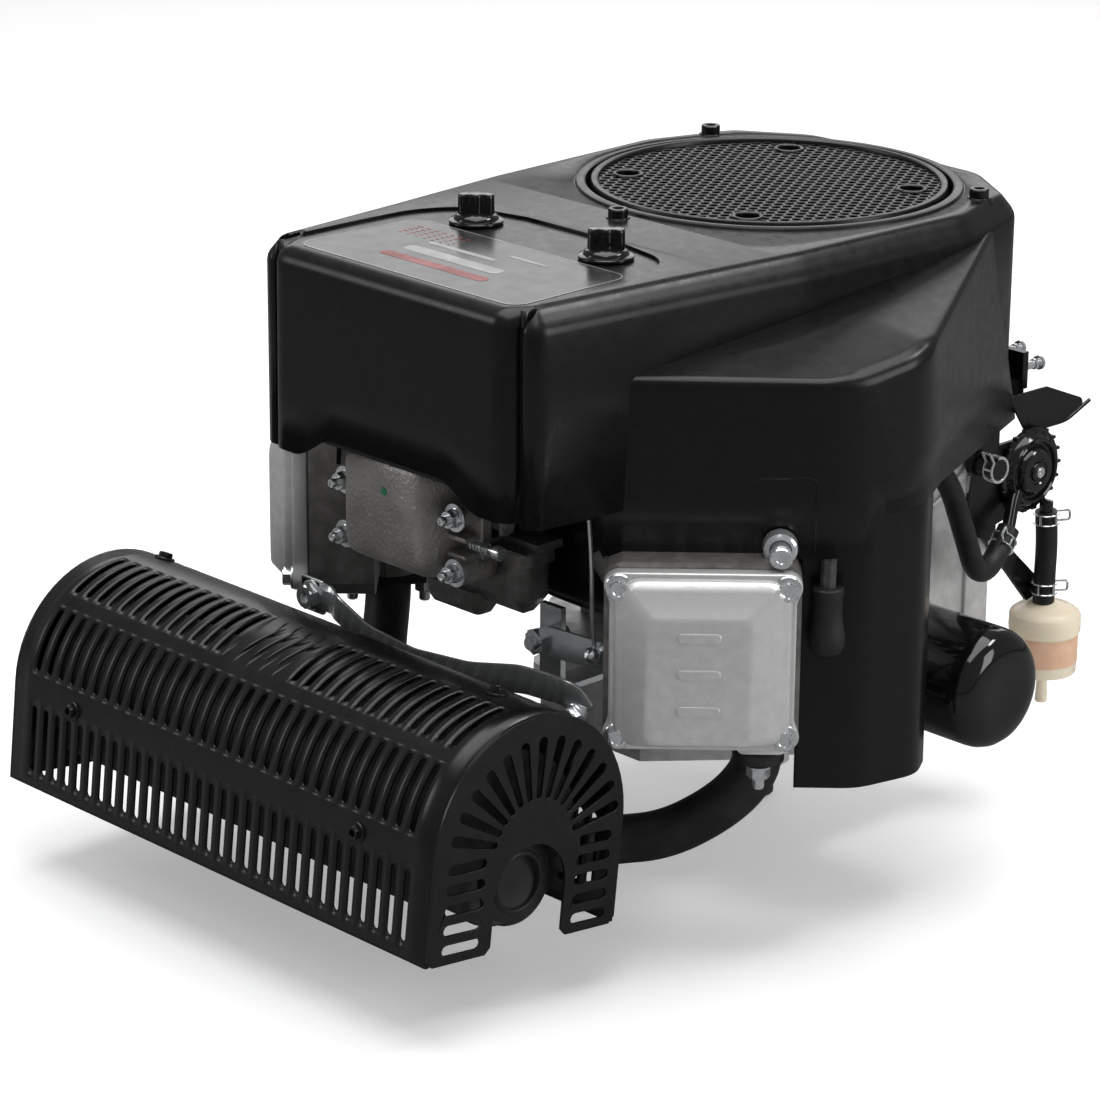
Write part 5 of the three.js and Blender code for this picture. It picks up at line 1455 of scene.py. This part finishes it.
def build_stage(look):
    """A wide pale floor, a soft even surround, five soft lights, and the camera at the engine's front
    right."""
    scene = bpy.context.scene
    floor_z = CAD_BOX[0][2] - 0.0006
    ends = np.linspace(-9, 9, 7)
    x, y = np.meshgrid(ends, ends)
    verts, faces = grid(np.stack([x, y, np.full_like(x, floor_z)], -1), False)
    mesh = bpy.data.meshes.new("floor")
    mesh.from_pydata(verts.tolist(), [], faces)
    floor = bpy.data.objects.new("floor", mesh)
    scene.collection.objects.link(floor)
    mesh.materials.append(floor_finish())
    world = bpy.data.worlds.new("surround")
    world.use_nodes = True
    world.node_tree.nodes["Background"].inputs["Color"].default_value = (0.97, 0.985, 1.0, 1)
    world.node_tree.nodes["Background"].inputs["Strength"].default_value = look.surround
    scene.world = world
    area_light("overhead", (0.0, -0.2, 2.3), (0, -0.1, 0.1), (2.4, 2.4), look.key_light)
    area_light("back_soft", (-2.0, 1.9, 1.45), (0, 0, 0.3), (3.0, 1.3), 1.5)
    area_light("edge_strip", (1.0, 0.95, 2.0), (0, 0, 0.2), (0.7, 0.3), 16.0)
    area_light("right_soft", (2.3, 0.7, 0.9), (0.1, 0, 0.15), (0.8, 1.4), 4.0)
    area_light("left_soft", (-1.7, -2.1, 1.1), (0, -0.2, 0.1), (0.9, 0.9), 3.0)
    scene.view_settings.view_transform = "Standard"
    camera = bpy.data.cameras.new("camera")
    camera.lens = 132.5
    camera.sensor_width = 36
    camera.clip_end = 50
    obj = bpy.data.objects.new("camera", camera)
    scene.collection.objects.link(obj)
    azimuth, elevation, roll = np.radians([46.07, 19.16, 0.41])
    right = np.array([math.cos(azimuth), math.sin(azimuth), 0])
    back = np.array([math.sin(azimuth) * math.cos(elevation), -math.cos(azimuth) * math.cos(elevation),
                     math.sin(elevation)])
    up = np.cross(back, right)
    right, up = right * math.cos(roll) + up * math.sin(roll), up * math.cos(roll) - right * math.sin(roll)
    place = np.array([-0.0925, -0.0961, 0.0893]) + back * 2.5748
    obj.matrix_world = facing(right, up, back, place)
    scene.camera = obj


# ---- Settings, operators and panel --------------------------------------------------------------------
class EngineHousingSettings(bpy.types.PropertyGroup):
    """Sizes of the moulded housing and the air cleaner cover."""
    wall: bpy.props.FloatProperty(name="Wall", description="Thickness of the moulded walls", default=0.0025,
                                  min=0.001, unit="LENGTH")
    front_edge: bpy.props.FloatProperty(name="Front Edge",
                                        description="Radius of the cover's front top edge",
                                        default=0.011, min=0.002, unit="LENGTH")


class EngineScreenSettings(bpy.types.PropertyGroup):
    """Sizes of the perforated debris screen."""
    pitch: bpy.props.FloatProperty(name="Pitch", description="Distance between hole centres", default=0.0071,
                                   min=0.004, unit="LENGTH")
    hole: bpy.props.FloatProperty(name="Hole", description="Diameter of the small holes", default=0.0054,
                                  min=0.001, unit="LENGTH")


class EngineGuardSettings(bpy.types.PropertyGroup):
    """Sizes of the silencer guard's slots."""
    slots: bpy.props.IntProperty(name="Slots", description="Slots in each row", default=31, min=5)
    slot_width: bpy.props.FloatProperty(name="Slot Width", description="Width of a slot", default=0.0052,
                                        min=0.001, unit="LENGTH")


class EngineLookSettings(bpy.types.PropertyGroup):
    """Colours and light."""
    plastic_colour: bpy.props.FloatVectorProperty(name="Plastic",
                                                  description="Colour of the moulded plastic",
                                                  default=(0.0045, 0.0045, 0.0048), subtype="COLOR", size=3)
    casting_colour: bpy.props.FloatVectorProperty(name="Dark Casting",
                                                  description="Colour of the dark castings",
                                                  default=(0.36, 0.345, 0.33), subtype="COLOR", size=3)
    bright_casting_colour: bpy.props.FloatVectorProperty(name="Bright Casting",
                                                         description="Colour of bare castings",
                                                         default=(0.74, 0.74, 0.73), subtype="COLOR", size=3)
    surround: bpy.props.FloatProperty(name="Surround", description="Strength of the even surrounding light",
                                      default=0.22)
    key_light: bpy.props.FloatProperty(name="Overhead", description="Brightness of the overhead light",
                                       default=3.0)


class EngineOperator:
    """What the engine's operators share: an undo step, and the settings they read."""
    bl_options = {"REGISTER", "UNDO"}


def operator(idname, label, text, *builders):
    """One operator class that runs the given builders, each called with the scene."""
    def execute(self, context):
        for build in builders:
            build(context.scene)
        return {"FINISHED"}

    body = {"bl_idname": f"engine.{idname}", "bl_label": label, "__doc__": text, "execute": execute}
    return type(f"ENGINE_OT_{idname}", (EngineOperator, bpy.types.Operator), body)


def on_both(build):
    """A step that runs one builder for each cylinder."""
    return lambda scene: [build(name) for name in SIDES]


OPERATORS = [
    operator("stage", "Stage", "Makes the finishes, the floor, the lights and the camera",
             lambda s: make_finishes(s.engine_look), lambda s: build_stage(s.engine_look),
             lambda s: finish_nodes()),
    operator("housing", "Blower Housing", "Builds the moulded blower housing",
             lambda s: build_housing(s.engine_housing)),
    operator("screen", "Debris Screen", "Builds the perforated screen that turns with the crank",
             lambda s: build_screen(s.engine_screen)),
    operator("cleaner", "Air Cleaner Cover", "Builds the air cleaner cover, its badge and its knobs",
             lambda s: build_cover(s.engine_housing)),
    operator("guard", "Silencer Guard", "Builds the slotted guard and the silencer in it",
             lambda s: build_guard(s.engine_guard), lambda s: build_silencer()),
    operator("heads", "Heads", "Builds the valve covers, rocker boxes and their bolts",
             on_both(build_valve_cover),
             on_both(build_rocker_box)),
    operator("exhaust", "Exhaust Pipes", "Builds the exhaust pipes, flanges and nuts",
             on_both(build_exhaust)),
    operator("shrouds", "Shrouds", "Builds the lower shrouds and the plug leads", on_both(build_shroud),
             on_both(build_lead)),
    # the sheet behind the elbow and bowl is painted shade, a black sheet put where there is only shade
    operator("intake", "Induction", "Builds the intake elbow, the float bowl and the baffle behind them",
             lambda s: build_intake(), lambda s: build_bowl(), lambda s: build_shade_sheet()),
    operator("strap", "Guard Strap", "Builds the strap that carries the guard", lambda s: build_strap()),
    operator("filters", "Oil and Fuel", "Builds the oil filter, fuel pump, hoses and fuel filter",
             lambda s: build_oil_filter(), lambda s: build_fuel()),
    operator("back", "Back and Case", "Builds the flap, the regulator's studs and the case details",
             lambda s: build_flap(), lambda s: build_regulator(), lambda s: build_case_details()),
]


class ENGINE_PT_builder(bpy.types.Panel):
    """Lists the engine's settings and builders."""
    bl_idname = "ENGINE_PT_builder"
    bl_label = "Engine"
    bl_space_type = "VIEW_3D"
    bl_region_type = "UI"
    bl_category = "Engine"

    def draw(self, context):
        scene = context.scene
        for name, group in SETTINGS.items():
            for key in group.__annotations__:
                self.layout.prop(getattr(scene, name), key)
        for made in OPERATORS:
            self.layout.operator(made.bl_idname)


SETTINGS = {"engine_housing": EngineHousingSettings, "engine_screen": EngineScreenSettings,
            "engine_guard": EngineGuardSettings, "engine_look": EngineLookSettings}
CLASSES = [*SETTINGS.values(), *OPERATORS, ENGINE_PT_builder]


def register():
    for made in CLASSES:
        bpy.utils.register_class(made)
    for name, group in SETTINGS.items():
        setattr(bpy.types.Scene, name, bpy.props.PointerProperty(type=group))


def unregister():
    for name in SETTINGS:
        delattr(bpy.types.Scene, name)
    for made in reversed(CLASSES):
        bpy.utils.unregister_class(made)


def main():
    register()
    for made in OPERATORS:
        group, name = made.bl_idname.split(".")
        getattr(getattr(bpy.ops, group), name)()
    bpy.context.view_layer.update()


if __name__ == "__main__":
    main()
